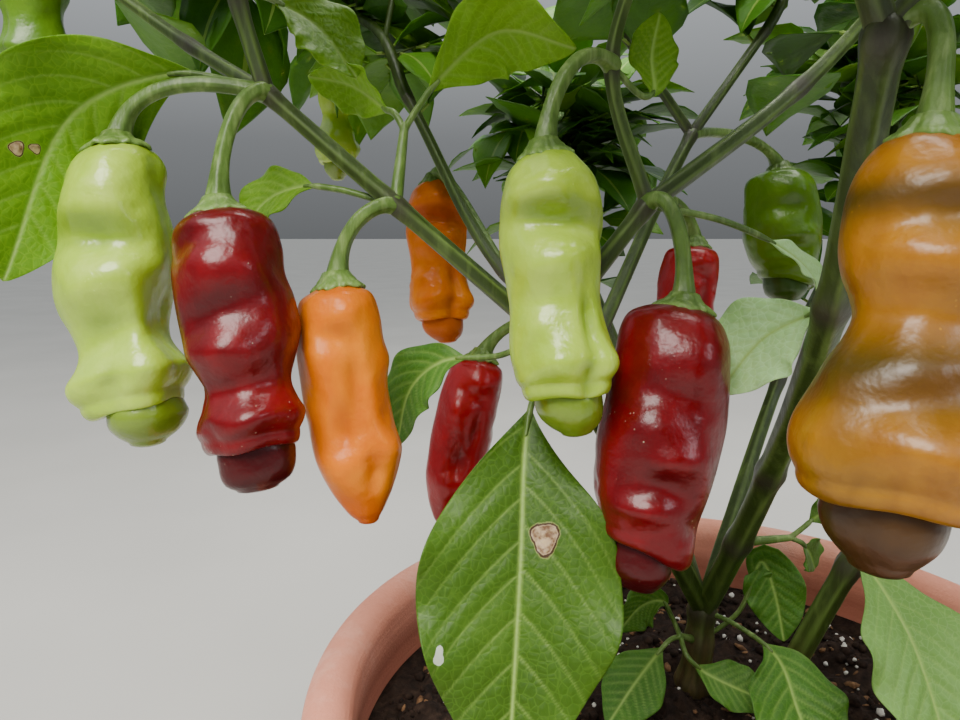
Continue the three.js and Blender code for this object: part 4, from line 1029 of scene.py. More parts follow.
def makePods():
    for name, pod in pods.items():
        top, tip = vec(*pod["top"]), vec(*pod["tip"])
        wide = pod["girth"] / girthOf(pod["form"])
        wide = 1.0 if abs(wide - 1) < podSkin["sameWidth"] else wide  # a pod keeps its own form's width
        sides, spin = podSkin["sides"], 0
        podPiece("body_" + name, pod["skin"], top, tip, pod["form"], wide, pod["seed"], sides, spin, name)
        stalkPiece("stalk_" + name, places[pod["from"]], vec(*pod["out"]), top, tip, pod["calyx"])
    print("pods:", len(pods))


makePods()


# single leaves, each from its node by a knee to the three points of its blade, with its width and its facing
sprigs = {
    "leaf_front": ("frontFork", None, [
        ((-91, -46, 434), ((-96, -58, 416), (-99, -80, 374), (-104, -106, 308)), 70, (0, -1, 0.25))]),
    "leaf_under_front": ("frontFork", None, [
        ((-105, -31, 440), ((-129, -23, 436), (-142, -21, 424), (-148, -24, 400)), 30, (-0.5, -0.7, 0.6))]),
    "leaf_left": ("leftFork", None, [
        ((-204, -42, 542), ((-224, -43, 544), (-256, -50, 529), (-274, -70, 472)), 54, (0.35, -1, -0.5))]),
    "leaf_left_top": ("leftUpNode", None, [
        ((-191, -40, 571), ((-184, -37, 569), (-172, -35, 562), (-158, -36, 544)), 28, (0.4, -0.8, 0.5))]),
    "leaf_left_under": ("leftNode", None, [
        ((-166, -40, 504), ((-182, -36, 505), (-196, -33, 499), (-206, -33, 484)), 26, (-0.3, -0.7, 0.6))]),
    "sprig_left": ("leftNode", (-141, -36, 527), [
        ((-135, -32, 536), ((-130, -29, 543), (-106, -28, 562), (-78, -36, 554)), 33, (0.1, -0.75, -0.65)),
        ((-145, -34, 532), ((-149, -31, 534), (-162, -26, 543), (-178, -28, 546)), 22, (0.1, -0.8, -0.5))]),
    "leaf_centre": ("centreNode", None, [
        ((-52, -33, 538), ((-48, -31, 540), (-48, -26, 554), (-45, -24, 570)), 20, (0, -1, 0.1))]),
    "leaf_side": ("centreFork", None, [
        ((-20, -38, 492), ((12, -28, 478), (22, -28, 466), (29, -31, 450)), 20, (0.7, -0.5, 0.6))]),
    "leaf_right": ("rightRise", None, [
        ((4, -70, 462), ((2, -64, 460), (-11, -58, 451), (-27, -58, 430)), 34, (-0.5, -0.8, 0.35))]),
    "leaf_corner": ("secondBend", None, [
        ((64, 0, 340), ((62, -10, 340), (70, -34, 318), (76, -66, 270)), 56, (-0.1, -0.8, 0.6))]),
    "leaf_foot": ("lowFork", None, [
        ((20, 26, 289), ((32, 6, 284), (34, -18, 269), (38, -42, 256)), 44, (0, -0.4, 1))]),
    "leaf_low": ("midStem", None, [
        ((24, 38, 291), ((36, 42, 317), (42, 37, 301), (45, 29, 279)), 30, (0, -0.9, 0.4))]),
    "sprig_low": ("midStem", (-9, 31, 281), [
        ((-13, 34, 291), ((-18, 34, 299), (-29, 31, 298), (-42, 25, 287)), 26, (-0.2, -0.9, 0.4)),
        ((-15, 27, 281), ((-22, 23, 276), (-36, 12, 266), (-52, -4, 255)), 30, (-0.1, -0.8, 0.6)),
        ((-7, 22, 275), ((0, 19, 269), (15, 12, 264), (32, 5, 260)), 24, (0, -0.6, 0.8))]),
    "sprig_right": ("rightLow", (38, 14, 343), [
        ((43, 13, 349), ((47, 13, 353), (53, 12, 358), (60, 12, 364)), 14, (0, -1, 0.2)),
        ((43, 15, 340), ((46, 16, 337), (50, 19, 332), (54, 21, 323)), 18, (0, -0.8, 0.6))]),
}

blade = {
    "stalkRadius": 1.3, "stalkTaper": ((0, 0.12, 0.85, 1), (1.25, 1, 0.95, 0.5)), "stalkSides": 12,
    "twigRadius": (2.6, 1.6), "twigSides": 14, "twigStep": 2.5,
    "lead": 0.56, "intoBlade": 0.1, "thick": 0.45, "cell": 1, "fineCell": 0.75, "broadFrom": 50,
    "taper": (1.25, 0.85), "edge": 0.5, "cupping": 0.16, "waves": 3.2, "waveHeight": 0.055,
    "puff": 0.6, "puffReach": 5, "midribWidth": (0.95, 0.55), "midribSunk": 0.3,
    "veinShares": (0.05, 0.14, 0.24, 0.35, 0.46, 0.57, 0.68, 0.79), "veinSlope": 0.85, "veinCurve": 0.012,
    "veinStrength": 0.42, "veinWidth": 0.75, "veinStagger": 0.035, "veinVaries": 0.012, "veinFades": 0.6,
    "moreWaves": 0.6, "joint": 0.04, "seedStep": 7,
    "scarRagged": (0.14, 3), "scarFade": (1.3, 0.6, 0.22), "fewestRows": 26, "fewestColumns": 18, "tip": 0.15,
    "tones": {
        "lit": ("#54800a", "#709f10", "#8ab924"), "backlit": ("#466c04", "#5e8a08", "#79a214"),
        "broad": ("#2a4508", "#3a5b0e", "#547820"),
        # of the two sets below, the paler is the leaves' green lightened by a painted sky sheen
        "deep": ("#2f5216", "#44701f", "#5b8a2c"), "painted_sky_sheen": ("#90bd74", "#afd894", "#c8eab0"),
        "corner": ("#53782f", "#6b9346", "#86ad60")},
    "rib": "#9ab85c", "scarTones": ("#8f9a52", "#3d2410", "#bda684", "#6b4d33", "#c4cdbb"),
    "toneOf": {
        "leaf_left": "backlit", "sprig_left": "lit", "leaf_left_top": "backlit", "leaf_left_under": "backlit",
        "leaf_centre": "backlit", "leaf_right": "painted_sky_sheen", "leaf_side": "painted_sky_sheen", "leaf_corner": "corner",
        "leaf_low": "deep", "sprig_low": "deep", "sprig_right": "deep", "leaf_foot": "deep",
        "leaf_under_front": "deep", "leaf_front": "broad"},
    "scars": {  # place along the blade, millimetres across it, half its length and width, whether it is burnt
        "leaf_front": ((0.37, 8, 5.6, 4.6, True), (0.68, -26, 3.2, 1.6, False)),
        "leaf_left": ((0.6, -9, 2.4, 2.2, True), (0.575, -4, 1.6, 1.9, True))},
}


def leafFinish(name, tones):
    finish, tree, shader = newFinish("leaf_" + name, {
        "Specular IOR Level": 0.24, "Subsurface Weight": 0.3, "Subsurface Scale": 0.0012,
        "Subsurface Radius": (0.7, 1.0, 0.25)})
    base = mottled(tree, noise(tree, 26, 5, 0.6), tones, (0.28, 0.5, 0.75), 0.45)
    net = ramp(tree, cells(tree, 330, "DISTANCE_TO_EDGE"), (0.0, 0.4), (0.09, 0.0))
    base = mixTones(tree, net, base, tones[2])
    base = marked(tree, base, "vein", 0.85, blade["rib"])
    halo, dark, cream, brown, silver = blade["scarTones"]
    ragged = scaled(tree, noise(tree, 420, 3, 0.6), 0.45)
    scar, worn = (node(tree, "Math", {0: mark(tree, name), 1: ragged}, operation="ADD").outputs[0]
                  for name in ("scar", "worn"))
    burnt = ramp(tree, noise(tree, 330, 4), (0.4, brown), (0.6, cream))
    ring = ramp(tree, scar, (0.34, halo), (0.46, dark), (0.62, dark), (0.72, cream))
    inside = mixTones(tree, ramp(tree, scar, (0.66, 0.0), (0.8, 1.0)), ring, burnt)
    base = mixTones(tree, ramp(tree, scar, (0.26, 0.0), (0.4, 1.0)), base, inside)
    base = mixTones(tree, ramp(tree, worn, (0.45, 0.0), (0.6, 0.9)), base, silver)
    rough = ramp(tree, noise(tree, 90, 3), (0.3, 0.42), (0.75, 0.58))
    relief = bump(tree, cells(tree, 330, "DISTANCE_TO_EDGE"), 0.0003, bump(tree, noise(tree, 150, 3), 0.0005))
    connect(tree, shader, colour=base, rough=rough, normal=relief)
    return finish


leafFinishes = {name: leafFinish(name, tones) for name, tones in blade["tones"].items()}


def bladeVeins(u, v, side, length, cell, draws):
    # how strongly a vein marks each point of a blade, and how far each point lies from the nearest one
    veins = hump(side, 0, mix(*blade["midribWidth"], u))
    nearest = np.abs(side)
    base = u * length - (blade["veinSlope"] * nearest + blade["veinCurve"] * nearest * nearest)
    varies = blade["veinVaries"]
    for share in blade["veinShares"]:
        for leftward in (False, True):
            place = share + blade["veinStagger"] * (leftward - 0.5) + draws.uniform(-varies, varies)
            off = base - place * length
            ours = (v < 0) == leftward
            nearest = np.where(ours, np.minimum(nearest, np.abs(off)), nearest)
            vein = hump(off, 0, blade["veinWidth"] * cell)
            vein = blade["veinStrength"] * (1 - blade["veinFades"] * np.abs(v)) * vein
            veins = np.where(ours, np.maximum(veins, vein), veins)
    return veins, nearest


def bladeScars(spots, u, side, length):
    # how deep in a burnt spot and in a worn one each point of a blade lies
    marks = {True: np.full_like(side, -1), False: np.full_like(side, -1)}
    depth, count = blade["scarRagged"]
    reach, fade, less = blade["scarFade"]
    for share, place, tall, broad, isBurnt in spots:
        ahead, aside = (u - share) * length, side - place
        ragged = 1 + depth * np.sin(count * np.arctan2(ahead, aside) + share * 9)
        far = np.hypot(ahead / tall, aside / broad) / ragged
        marks[isBurnt] = np.maximum(marks[isBurnt], np.clip((reach - far) / fade - less, -1, 2))
    return marks[True], marks[False]


def addLeaf(shape, start, knee, points, width, facing, spots, seed):
    # a stalk and a blade, both thin closed bodies
    draws = np.random.default_rng(seed)
    knee, facing = vec(*knee), vec(*facing)
    points = [vec(*p) for p in points]
    spine = along([start, knee, *points], 200)
    run = runOf(spine)
    bladeFrom = np.linalg.norm(knee - start) + blade["lead"] * np.linalg.norm(points[0] - knee)
    length = run[-1] - bladeFrom
    stem = spine[run < bladeFrom + blade["intoBlade"] * length][::3]
    radius = blade["stalkRadius"] * np.interp(np.linspace(0, 1, len(stem)), *blade["stalkTaper"])
    body, faces = ringBody(tube(stem, radius, blade["stalkSides"], facing))
    shape.add(body, faces, 1, vein=np.zeros(len(body)))

    cell = blade["fineCell"] if width > blade["broadFrom"] else blade["cell"]
    u = np.linspace(0, 1, int(max(length / cell, blade["fewestRows"])))[:, None]
    v = np.linspace(1, -1, int(max(width / cell, blade["fewestColumns"])) // 2 * 2 + 1)
    at = (bladeFrom + u * length).ravel()
    path = np.column_stack([np.interp(at, run, spine[:, k]) for k in range(3)])
    _, across, up = framesOf(path, facing)
    half = width / 2 * np.sin(math.pi * u) ** np.where(u < 0.5, *blade["taper"]) + blade["edge"]
    half[-1] = blade["tip"]
    side = half * v
    phases = draws.uniform(0, 6.28, 2)
    waves = blade["waves"] + blade["moreWaves"] * (v < 0)
    wave = np.sin(2 * math.pi * waves * u + np.where(v < 0, *phases))
    belly = np.sin(math.pi * u)
    lift = blade["cupping"] * np.abs(side) + blade["waveHeight"] * width * wave * v ** 4 * belly
    veins, nearest = bladeVeins(u, v, side, length, cell, draws)
    lift = lift - blade["midribSunk"] * hump(side, 0, mix(*blade["midribWidth"], u))
    lift = lift + blade["puff"] * smooth(nearest / blade["puffReach"]) * np.sqrt(belly) * (1 - v ** 6)
    upper = path[:, None] + side[..., None] * across[:, None] + lift[..., None] * up[:, None]
    lower = upper - blade["thick"] * up[:, None]
    marks = {"vein": veins}
    marks["scar"], marks["worn"] = bladeScars(spots, u, side, length)
    marks = {name: withPoles(bothSides(values, values)) for name, values in marks.items()}
    shape.add(*ringBody(bothSides(upper, lower)), 0, **marks)


def makeSprigs():
    for number, (name, (start, twig, leaves)) in enumerate(sprigs.items()):
        shape = Shape()
        start = places[start]
        if twig:
            path = straight(start, vec(*twig), blade["twigStep"])
            radius = np.linspace(*blade["twigRadius"], len(path))
            body, faces = ringBody(tube(path, radius, blade["twigSides"]))
            shape.add(body, faces, 1, vein=np.zeros(len(body)))
            start = mix(vec(*twig), start, blade["joint"])
        for i, (knee, points, width, facing) in enumerate(leaves):
            spots, seed = blade["scars"].get(name, ()), blade["seedStep"] * number + i
            addLeaf(shape, start, knee, points, width, facing, spots, seed)
        shape.piece("dressed_" + name, [leafFinishes[blade["toneOf"][name]], stalkGreen], "foliage", name)
    print("single leaves:", sum(len(leaves) for _, _, leaves in sprigs.values()))


makeSprigs()


# the crown: each mass of foliage grows from its bough by the rule that the solids follow, and its leaves
# become sprays
crown = {"centre": vec(-5, 8, 575), "radii": vec(305, 275, 207)}
openSide = {  # the space in front of the view, which foliage keeps out of
    "point": vec(-113, -314, 488), "dip": math.radians(10), "depth": 288, "across": 0.72, "upward": 0.55}
clearance = {"ballSpacing": 8, "stalk": 6, "petiole": 4, "bladeBase": 0.42, "bladeTip": 0.36, "nearBough": 24}
growth = {
    "orders": 4, "shoot": 40, "shootVaries": (0.85, 1.15), "shorter": 0.86, "stout": 1.3, "thinner": 0.84,
    "forkSpread": 0.6, "spreadVaries": (0.8, 1.15), "forkSunk": 4, "forkShare": 0.5, "forkTurn": 0.5,
    "aiming": 0.26, "lift": 0.06, "tries": 5, "turnAside": 0.8, "gap": 0.3,
    "forkLeaves": 2, "endLeaves": 4, "endLeafForward": 0.9, "leafForward": (0.25, 0.3), "leafDip": 0.12,
    "leafSpacing": 4.5, "leavesApart": 9, "twigsApart": 6, "leafRoom": 7, "twigRoom": 3, "spaceGap": 0.8,
}
crownLeaf = {"length": 90, "varies": (0.84, 1.1), "width": 0.52, "thick": 1, "widestAt": 0.56, "tipAt": 0.97,
             "upturned": 0.12, "droop": 0.18}
fruit = {"length": 62, "radius": 13, "aside": 14, "stalk": 24}
masses = {  # bough, middle of its space, seed, and the skins of its small pods
    "foliage_left_top": ("bough_left_up", vec(-186, -74, 676), 74, ("red",)),
    "foliage_left": ("bough_left_out", vec(-236, 44, 626), 60, ("green",)),
    "foliage_front_top": ("bough_centre_up", vec(-62, -52, 692), 16, ()),
    "foliage_centre": ("bough_centre_side", vec(82, 12, 688), 33, ("green",)),
    "foliage_front": ("bough_right_inner", vec(-56, -166, 656), 31, ("pale",)),
    "foliage_front_right": ("bough_right_outer", vec(72, -148, 628), 14, ("red",)),
    "foliage_right_front": ("bough_far_right", vec(200, -92, 552), 32, ("orange", "red")),
    "foliage_right": ("bough_right_back", vec(222, 62, 574), 5, ("pale", "red")),
    "foliage_rear_left": ("bough_rear_left", vec(-166, 132, 638), 71, ("pale",)),
    "foliage_rear_top": ("bough_rear_top", vec(52, 128, 700), 31, ("green",)),
    "foliage_rear_inner": ("bough_rear_inner", vec(-62, 84, 710), 68, ()),
    "foliage_rear_right": ("bough_rear_right", vec(152, 186, 576), 73, ("orange", "pale")),
    "foliage_rear_low": ("bough_rear_low", vec(-52, 214, 548), 38, ("red", "pale")),
}
centres = {name: data[1] for name, data in masses.items()}


chance = {"apart": 7919, "factor": 1664525, "step": 1013904223, "range": 2 ** 32, "drawsEach": 10}


def randomFrom(seed):
    # the same random numbers from 0 to 1 that the solids grow by
    state = seed * chance["apart"]

    def draw():
        nonlocal state
        state = (state * chance["factor"] + chance["step"]) % chance["range"]
        return state / chance["range"]

    return draw


def obstacleBalls():
    # balls along the limbs, the pods and the single leaves, which foliage keeps clear of
    owners, points, radii = [], [], []

    def add(owner, path, radius):
        owners.extend([owner] * len(path))
        points.extend(path)
        radii.extend([radius] * len(path))

    spacing = clearance["ballSpacing"]
    for name, (through, (first, _), _) in limbs.items():
        line = [places[p] for p in through]
        length = runOf(throughPoints(line, curveShares))[-1]
        add(name, along(line, math.ceil(length / spacing)), first)
    for name, pod in pods.items():
        top = vec(*pod["top"])
        add(name, straight(top, vec(*pod["tip"]), spacing), pod["girth"] / 2)
        add(name, straight(places[pod["from"]] + vec(*pod["out"]), top, spacing), clearance["stalk"])
    for name, (_, _, leaves) in sprigs.items():
        for knee, line, width, _ in leaves:
            a, b, c, d = (vec(*p) for p in (knee, *line))
            add(name, straight(a, b, spacing), clearance["petiole"])
            add(name, straight(b, c, spacing), width * clearance["bladeBase"])
            add(name, straight(c, d, spacing), width * clearance["bladeTip"])
    return np.array(owners), np.array(points), np.array(radii)


ballOwners, ballPoints, ballRadii = obstacleBalls()


def gaps(a, b):
    # how far each point of a lies from each of b
    return np.linalg.norm(np.asarray(a)[:, None] - np.asarray(b)[None], axis=2)


def fits(points, mass, thick, room):
    # whether all the points lie in the crown, out of the open side and in the mass's own space,
    # and clear of the limbs, the pods and the single leaves
    points = np.asarray(points)
    if (np.linalg.norm((points - crown["centre"]) / crown["radii"], axis=1) >= 1).any():
        return False
    seen = points - openSide["point"]
    c, s = math.cos(openSide["dip"]), math.sin(openSide["dip"])
    ahead, above = seen[:, 1] * c - seen[:, 2] * s, seen[:, 1] * s + seen[:, 2] * c
    if ((ahead < openSide["depth"]) & (np.abs(seen[:, 0]) < openSide["across"] * ahead)
            & (np.abs(above) < openSide["upward"] * ahead)).any():
        return False
    ours = centres[mass["name"]]
    for name, other in centres.items():
        if name != mass["name"]:
            apart = np.linalg.norm(other - ours)
            inside = (((points - other) ** 2).sum(1) - ((points - ours) ** 2).sum(1)) / (2 * apart)
            if (inside <= thick + growth["spaceGap"]).any():
                return False
    clear = gaps(points, ballPoints) > ballRadii + room
    near = np.linalg.norm(points - mass["start"], axis=1) < clearance["nearBough"]
    return (clear | (near[:, None] & (ballOwners == mass["bough"])[None])).all()


def between(a, b, count):
    # points an even step apart on the way from a to b, with b the last
    return [mix(a, b, (i + 1) / count) for i in range(count)]


def placeLeaf(start, heading, length):
    # a leaf as the growth rule sees it: its way, its face, and points down its middle and round its sides
    across = unit(np.cross(heading, skyward))
    face = unit(np.cross(across, heading))
    half = length * crownLeaf["width"] / 2
    middle = start + heading * length * crownLeaf["widestAt"]
    tip = start + heading * length * crownLeaf["tipAt"] - face * length * crownLeaf["droop"]
    points = between(start, middle, 4)[1:] + between(middle, tip, 3)
    for sign in (1, -1):
        side = middle + across * half * sign + face * half * crownLeaf["upturned"]
        points += between(middle, side, 2) + between(side, tip, 2)
    return {"start": start, "heading": heading, "face": face, "length": length, "points": np.array(points)}


def clearOfGrown(points, grown):
    return (all((gaps(points, other["points"]) > growth["leavesApart"]).all() for other in grown["leaves"])
            and (not grown["twigPoints"] or (gaps(points, grown["twigPoints"]) > growth["twigsApart"]).all()))


def wayOut(shoot, mass, grown, reach):
    # the first free way out of a few, each turned further aside from the heading
    aim = unit(centres[mass["name"]] - shoot["from"])
    for attempt in range(growth["tries"]):
        aside = growth["turnAside"] * attempt * (1 if attempt % 2 else -1)
        way = mix(turned(shoot["heading"], shoot["along"], aside), aim, growth["aiming"])
        way = unit(way + skyward * growth["lift"])
        to = shoot["from"] + way * reach
        points = between(shoot["from"], to, 5)[1:]
        if fits(points, mass, shoot["radius"], growth["twigRoom"]) and all(
                (gaps(leaf["points"], points) > growth["twigsApart"]).all() for leaf in grown["leaves"]):
            return way, to, points
    return None


def leafOut(shoot, to, way, last, draws, mass, grown):
    # the leaves round a shoot's end, each turned on until it is free
    sideways = unit(np.cross(way, skyward))
    count = growth["endLeaves"] if last else growth["forkLeaves"]
    leastForward, forwardVaries = growth["leafForward"]
    for i in range(count):
        atEnd = last and i == 0
        forward = growth["endLeafForward"] if atEnd else leastForward + forwardVaries * draws[i + 1]
        start = to - way * growth["leafSpacing"] * (i + (0 if last else 2))
        length = crownLeaf["length"] * mix(*crownLeaf["varies"], draws[i + 4])
        firstRound = shoot["plane"] + 2 * math.pi * (i + 0.5 * draws[0]) / count
        for attempt in range(growth["tries"]):
            run = turned(sideways, way, firstRound + attempt * growth["turnAside"]) * (1 - forward / 2)
            run = unit(run + way * forward - skyward * growth["leafDip"])
            leaf = placeLeaf(start, run, length)
            if (fits(leaf["points"], mass, crownLeaf["thick"], growth["leafRoom"])
                    and clearOfGrown(leaf["points"], grown)):
                grown["leaves"].append(leaf)
                break


def hangFruit(to, axis, mass, grown):
    # a small pod beside a fork, if there is room for it
    top = to + axis * fruit["aside"] - skyward * fruit["stalk"]
    tip = top - skyward * fruit["length"]
    if fits(between(top, tip, 4), mass, fruit["radius"], fruit["radius"] + growth["twigRoom"]):
        grown["fruits"].append((to, top, tip))


def growMass(mass, seed, wanted):
    # shoots grow from the bough's end, fork and fork again, and carry leaves and as many pods as are wanted
    draw = randomFrom(seed)
    through, radii, _ = limbs[mass["bough"]]
    line = [places[p] for p in through]
    mass["start"] = line[-1]
    onward = unit(line[-1] - throughPoints(line, [0.9999])[0])
    grown = {"twigs": [], "twigPoints": [], "leaves": [], "fruits": []}
    shoots = [{"from": mass["start"], "heading": onward, "along": onward, "order": 0,
               "length": growth["shoot"], "radius": radii[1] * growth["stout"],
               "plane": draw() * math.pi, "twig": None}]
    while shoots:
        shoot = shoots.pop(0)
        draws = [draw() for _ in range(chance["drawsEach"])]
        free = wayOut(shoot, mass, grown, shoot["length"] * mix(*growth["shootVaries"], draws[9]))
        if not free:
            continue
        way, to, points = free
        grown["twigPoints"] += points
        endRadius = shoot["radius"] * growth["thinner"]
        last = shoot["order"] == growth["orders"] - 1
        twig = shoot["twig"]
        if not twig or twig[-1][0] is not shoot["from"]:
            foot = [(growth["gap"], 1), (growth["forkSunk"], 1)]
            if shoot["order"]:
                foot = [(-growth["forkSunk"], growth["forkShare"])]
            twig = [(shoot["from"] + shoot["along"] * ahead, shoot["radius"] * share)
                    for ahead, share in foot]
            grown["twigs"].append(twig)
        twig.append((to, endRadius))
        leafOut(shoot, to, way, last, draws, mass, grown)
        axis = turned(unit(np.cross(way, skyward)), way, shoot["plane"])
        if len(grown["fruits"]) < wanted and shoot["order"]:
            hangFruit(to, axis, mass, grown)
        if last:
            continue
        spread = growth["forkSpread"] * mix(*growth["spreadVaries"], draws[8])
        for side in (-1, 1):
            shoots.append({"from": to, "heading": turned(way, axis, side * spread), "along": way,
                           "order": shoot["order"] + 1, "length": shoot["length"] * growth["shorter"],
                           "radius": endRadius, "twig": twig,
                           "plane": shoot["plane"] + math.pi / 2 + growth["forkTurn"] * (draws[0] - 0.5)})
    return grown


spray = {  # how each leaf of the growth rule is carried to a fine twig with leaves of its own
    "twig": 0.2, "twigRadius": (1.0, 0.6), "twigStep": 9, "twigSides": 5, "shootStep": 8, "shootSides": 7,
    # the leaf at the twig's end, then those beside it: where along it, how far aside in degrees, and how long
    "endLeaf": 0.8, "sideLeaves": ((0.17, 58, 0.66), (0.19, -55, 0.62), (0.04, 84, 0.5), (0.07, -88, 0.46)),
    "sideVaries": (0.85, 1.15), "sizeVaries": (0.88, 1.12), "sideDip": 0.15, "faceVaries": 0.16,
    "tiltVaries": 0.2,
    "width": 0.56, "taper": (0.82, 1.1), "across": (1, 0.72, 0.4, 0.06), "rows": 9, "thick": 0.35,
    "petiole": 0.16, "petioleRadius": 0.6, "petioleThick": 0.8, "tip": 0.2,
    "arch": (0.14, 0.44), "archPower": 2.2, "bow": 0.06, "lean": (0.08, 0.34), "ripple": 0.02,
    "ripples": (13, 15), "pleats": 4.5, "pleatSlant": 0.8, "room": 2, "seed": 5,
    # leaves straight on the twigs and the boughs: where between two forks, and how long
    "infill": ((0.3, 0.62), (0.75, 0.55)), "infillLength": 84, "infillVaries": (0.85, 1.15),
    "infillTurn": 0.7, "infillForward": 0.5, "infillLift": 0.15,
    "boughLeaves": ((0.5, 0.8),), "boughStep": 26, "boughFrom": 430,
    # a leaf's place in the tones, which grow lighter outwards and upwards: partly younger growth, partly
    # painted light where the crown is lit
    "toneMiddle": 1.4, "toneOutward": 1.3, "toneUpward": 0.9, "toneVaries": 0.75,
    "tones": (("#284a0c", "#3a6410"), ("#32600e", "#487c16"), ("#3d7014", "#548a1c"), ("#4a7c16", "#62961e"),
              ("#5a8a1a", "#74a228"), ("#7a9c3e", "#90ae52")),  # the last is the midribs'
}
smallPod = {
    "stalkOut": 10, "stalkRise": 30, "calyx": 8.5, "girth": 26, "sides": 36, "spin": 1.3, "seed": 300,
    "forms": ("tapered", "paleCentre", "orangeRight"),
}


def crownFinish(number, tones):
    finish, tree, shader = newFinish(f"crown_green_{number}", {
        "Specular IOR Level": 0.26, "Roughness": 0.46, "Subsurface Weight": 0.08, "Subsurface Scale": 0.0015,
        "Subsurface Radius": (0.7, 1.0, 0.25)})
    low, high = tones
    base = ramp(tree, noise(tree, 30, 4, 0.6), (0.3, low), (0.7, high))
    net = ramp(tree, cells(tree, 240, "DISTANCE_TO_EDGE"), (0.0, 0.35), (0.1, 0.0))
    base = mixTones(tree, net, base, high)
    connect(tree, shader, colour=base, normal=bump(tree, noise(tree, 160, 3), 0.0007))
    return finish


crownFinishes = [crownFinish(i, tones) for i, tones in enumerate(spray["tones"])]
ribFinish = len(crownFinishes) - 1


def sprayLeaf(shape, start, heading, face, length, finish, draws):
    # one leaf of a spray: a stalk and an arching blade with upturned, wavy halves and a paler midrib
    right = np.cross(face, heading)
    rows = spray["rows"]
    u = np.linspace(0, 1, rows)[:, None]
    s = np.clip((u - spray["petiole"]) / (1 - spray["petiole"]), 0, 1)
    fullest, power = spray["taper"]
    outline = np.abs(np.sin(math.pi * s ** fullest)) ** power
    half = length * spray["width"] / 2 * outline + spray["petioleRadius"]
    half[-1] = spray["tip"]
    v = np.array([*spray["across"], *(-share for share in reversed(spray["across"]))])
    arch, bow = draws.uniform(*spray["arch"]), draws.normal(0, spray["bow"])
    lean = draws.uniform(*spray["lean"])
    phase = draws.uniform(0, 6.28, 2)
    side, aside = half * v, np.abs(v)
    wave = np.sin(np.where(v > 0, *spray["ripples"]) * u + np.where(v > 0, *phase))
    pleat = np.cos(2 * math.pi * (spray["pleats"] * s - spray["pleatSlant"] * aside)) * aside * (1 - aside)
    lift = lean * np.abs(side) + spray["ripple"] * length * (wave * v ** 2 * np.sin(math.pi * s) + pleat)
    lift = lift - arch * length * u ** spray["archPower"]
    out = np.broadcast_to(length * u * (1 - 0.25 * arch * u ** 2), side.shape)
    drift = side + bow * length * u ** 2
    upper = start + heading * out[..., None] + right * drift[..., None] + face * lift[..., None]
    lower = upper - face * (spray["thick"] + spray["petioleThick"] * (s <= 0))[..., None]
    tint = np.full((rows - 1, 2 * len(v)), finish)
    tint[:, len(v) // 2 - 1] = ribFinish
    tint[s[1:, 0] <= 0.02] = ribFinish
    shape.add(*ringBody(bothSides(upper, lower)), tint.ravel())


def toneAt(place, draws):
    # leaves on the outside and the top of the crown are lighter, partly as younger growth and partly as
    # painted light
    away = (place - crown["centre"]) / crown["radii"]
    light = spray["toneOutward"] * np.linalg.norm(away) + spray["toneUpward"] * away[2]
    light = light + draws.normal(0, spray["toneVaries"])
    return int(np.clip(round(spray["toneMiddle"] + light), 0, ribFinish - 1))


def tryLeaf(shape, root, way, face, size, finish, mass, draws):
    # one more leaf where it fits: 1 if it was made, or else 0
    planned = placeLeaf(root, way, size)
    if not fits(planned["points"], mass, crownLeaf["thick"], spray["room"]):
        return 0
    tilt = mix(face, planned["face"], 0.5) + draws.normal(0, spray["tiltVaries"], 3)
    tilt = unit(tilt - way * np.dot(tilt, way))
    finish = int(np.clip(finish + draws.integers(-1, 2), 0, ribFinish - 1))
    sprayLeaf(shape, root, way, tilt, size, finish, draws)
    return 1


def addSpray(shape, twigs, leaf, mass, draws):
    # a fine twig in the place of one large leaf, with a leaf at its end and pairs beside it
    heading, length, start = leaf["heading"], leaf["length"], leaf["start"]
    finish = toneAt(leaf["points"][5], draws)
    face = unit(leaf["face"] + draws.normal(0, spray["faceVaries"], 3))
    face = unit(face - heading * np.dot(face, heading))
    fork = start + heading * length * spray["twig"]
    path = straight(start, fork, spray["twigStep"])
    twigs.add(*ringBody(tube(path, np.linspace(*spray["twigRadius"], len(path)), spray["twigSides"])))
    sprayLeaf(shape, fork - heading, heading, face, length * spray["endLeaf"], finish, draws)
    made = 1
    for share, degrees, size in spray["sideLeaves"]:
        way = turned(heading, face, math.radians(degrees * draws.uniform(*spray["sideVaries"])))
        way = unit(way - skyward * spray["sideDip"])
        size = size * length * draws.uniform(*spray["sizeVaries"])
        made += tryLeaf(shape, start + heading * length * share, way, face, size, finish, mass, draws)
    return made


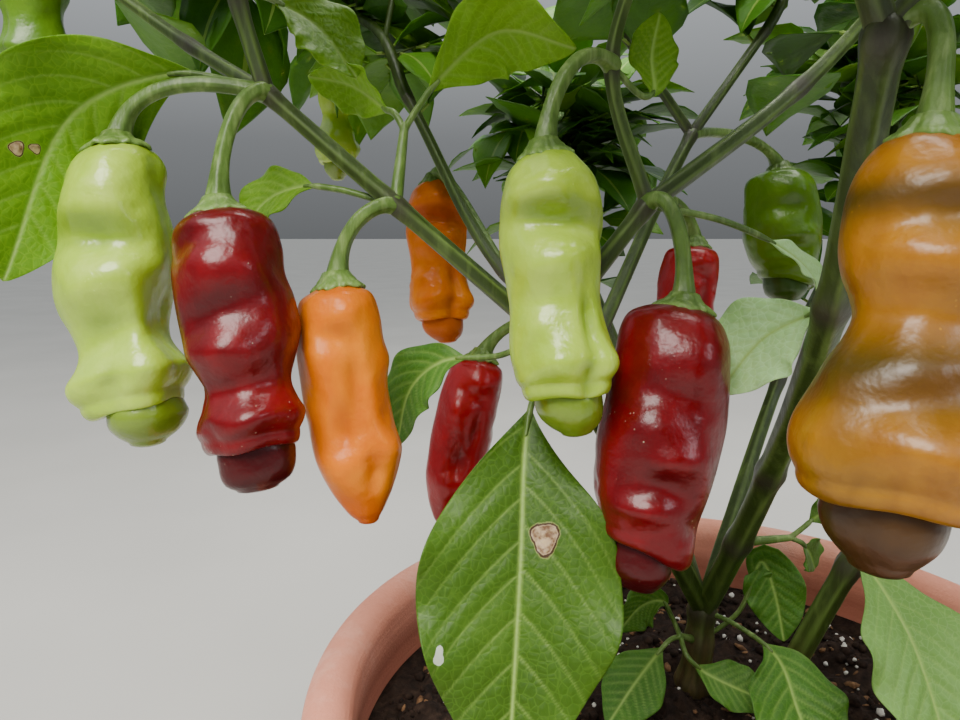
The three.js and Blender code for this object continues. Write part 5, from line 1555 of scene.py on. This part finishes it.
def fillTwig(shape, twig, mass, draws, pairs=spray["infill"]):
    # leaves straight on the twig, between its forks
    made = 0
    for (a, _), (b, _) in zip(twig[1:], twig[2:]):
        way = unit(b - a)
        sideways = unit(np.cross(way, skyward))
        for share, size in pairs:
            for side in (0, math.pi):
                out = turned(sideways, way, draws.uniform(-spray["infillTurn"], spray["infillTurn"]) + side)
                out = unit(out + spray["infillForward"] * way + spray["infillLift"] * skyward)
                length = size * spray["infillLength"] * draws.uniform(*spray["infillVaries"])
                finish = toneAt(b, draws) - 1
                made += tryLeaf(shape, mix(a, b, share), out, skyward, length, finish, mass, draws)
    return made


def addTwig(twigs, twig):
    # one twig of a mass, through its forks and thinner at each
    knots = np.array([point for point, _ in twig])
    path = along(knots, step=spray["shootStep"])
    share, knotShare = runOf(path), runOf(knots)
    radius = np.interp(share / share[-1], knotShare / knotShare[-1], [radius for _, radius in twig])
    twigs.add(*ringBody(tube(path, radius, spray["shootSides"])))


def addSmallPod(mass, skin, turn, start, top, tip):
    form = smallPod["forms"][turn % 3]
    wide = smallPod["girth"] / girthOf(form)
    seed, spin = smallPod["seed"] + turn, smallPod["spin"] * turn
    name = f"small_{skin}_{mass}"
    podPiece(name, skin, top, tip, form, wide, seed, smallPod["sides"], spin)
    out = unit(top - start + skyward * smallPod["stalkRise"]) * smallPod["stalkOut"]
    stalkPiece("stalk_" + name, start, out, top, tip, smallPod["calyx"], stalk["small"])


def makeCrown():
    leafCount, faceCount, podCount = 0, 0, 0
    for number, (name, (bough, _, seed, ripeness)) in enumerate(masses.items()):
        mass = {"name": name, "bough": bough}
        grown = growMass(mass, seed, len(ripeness))
        draws = np.random.default_rng(spray["seed"] + number)
        leaves, twigs = Shape(), Shape()
        line = along([places[p] for p in limbs[bough][0]], step=spray["boughStep"])
        upper = [(point, None) for point in line if point[2] > spray["boughFrom"]]
        leafCount += fillTwig(leaves, [None, *upper], mass, draws, spray["boughLeaves"])
        for twig in grown["twigs"]:
            addTwig(twigs, twig)
            leafCount += fillTwig(leaves, twig, mass, draws)
        for leaf in grown["leaves"]:
            leafCount += addSpray(leaves, twigs, leaf, mass, draws)
        for i, (start, top, tip) in enumerate(grown["fruits"]):
            addSmallPod(name, ripeness[i], number + i, start, top, tip)
            podCount += 1
        faceCount += leaves.piece("leaves_" + name, crownFinishes, "foliage", name)
        faceCount += twigs.piece("twigs_" + name, [greenBark], "stem")
    print("crown:", leafCount, "leaves,", faceCount, "faces,", podCount, "small pods")


makeCrown()
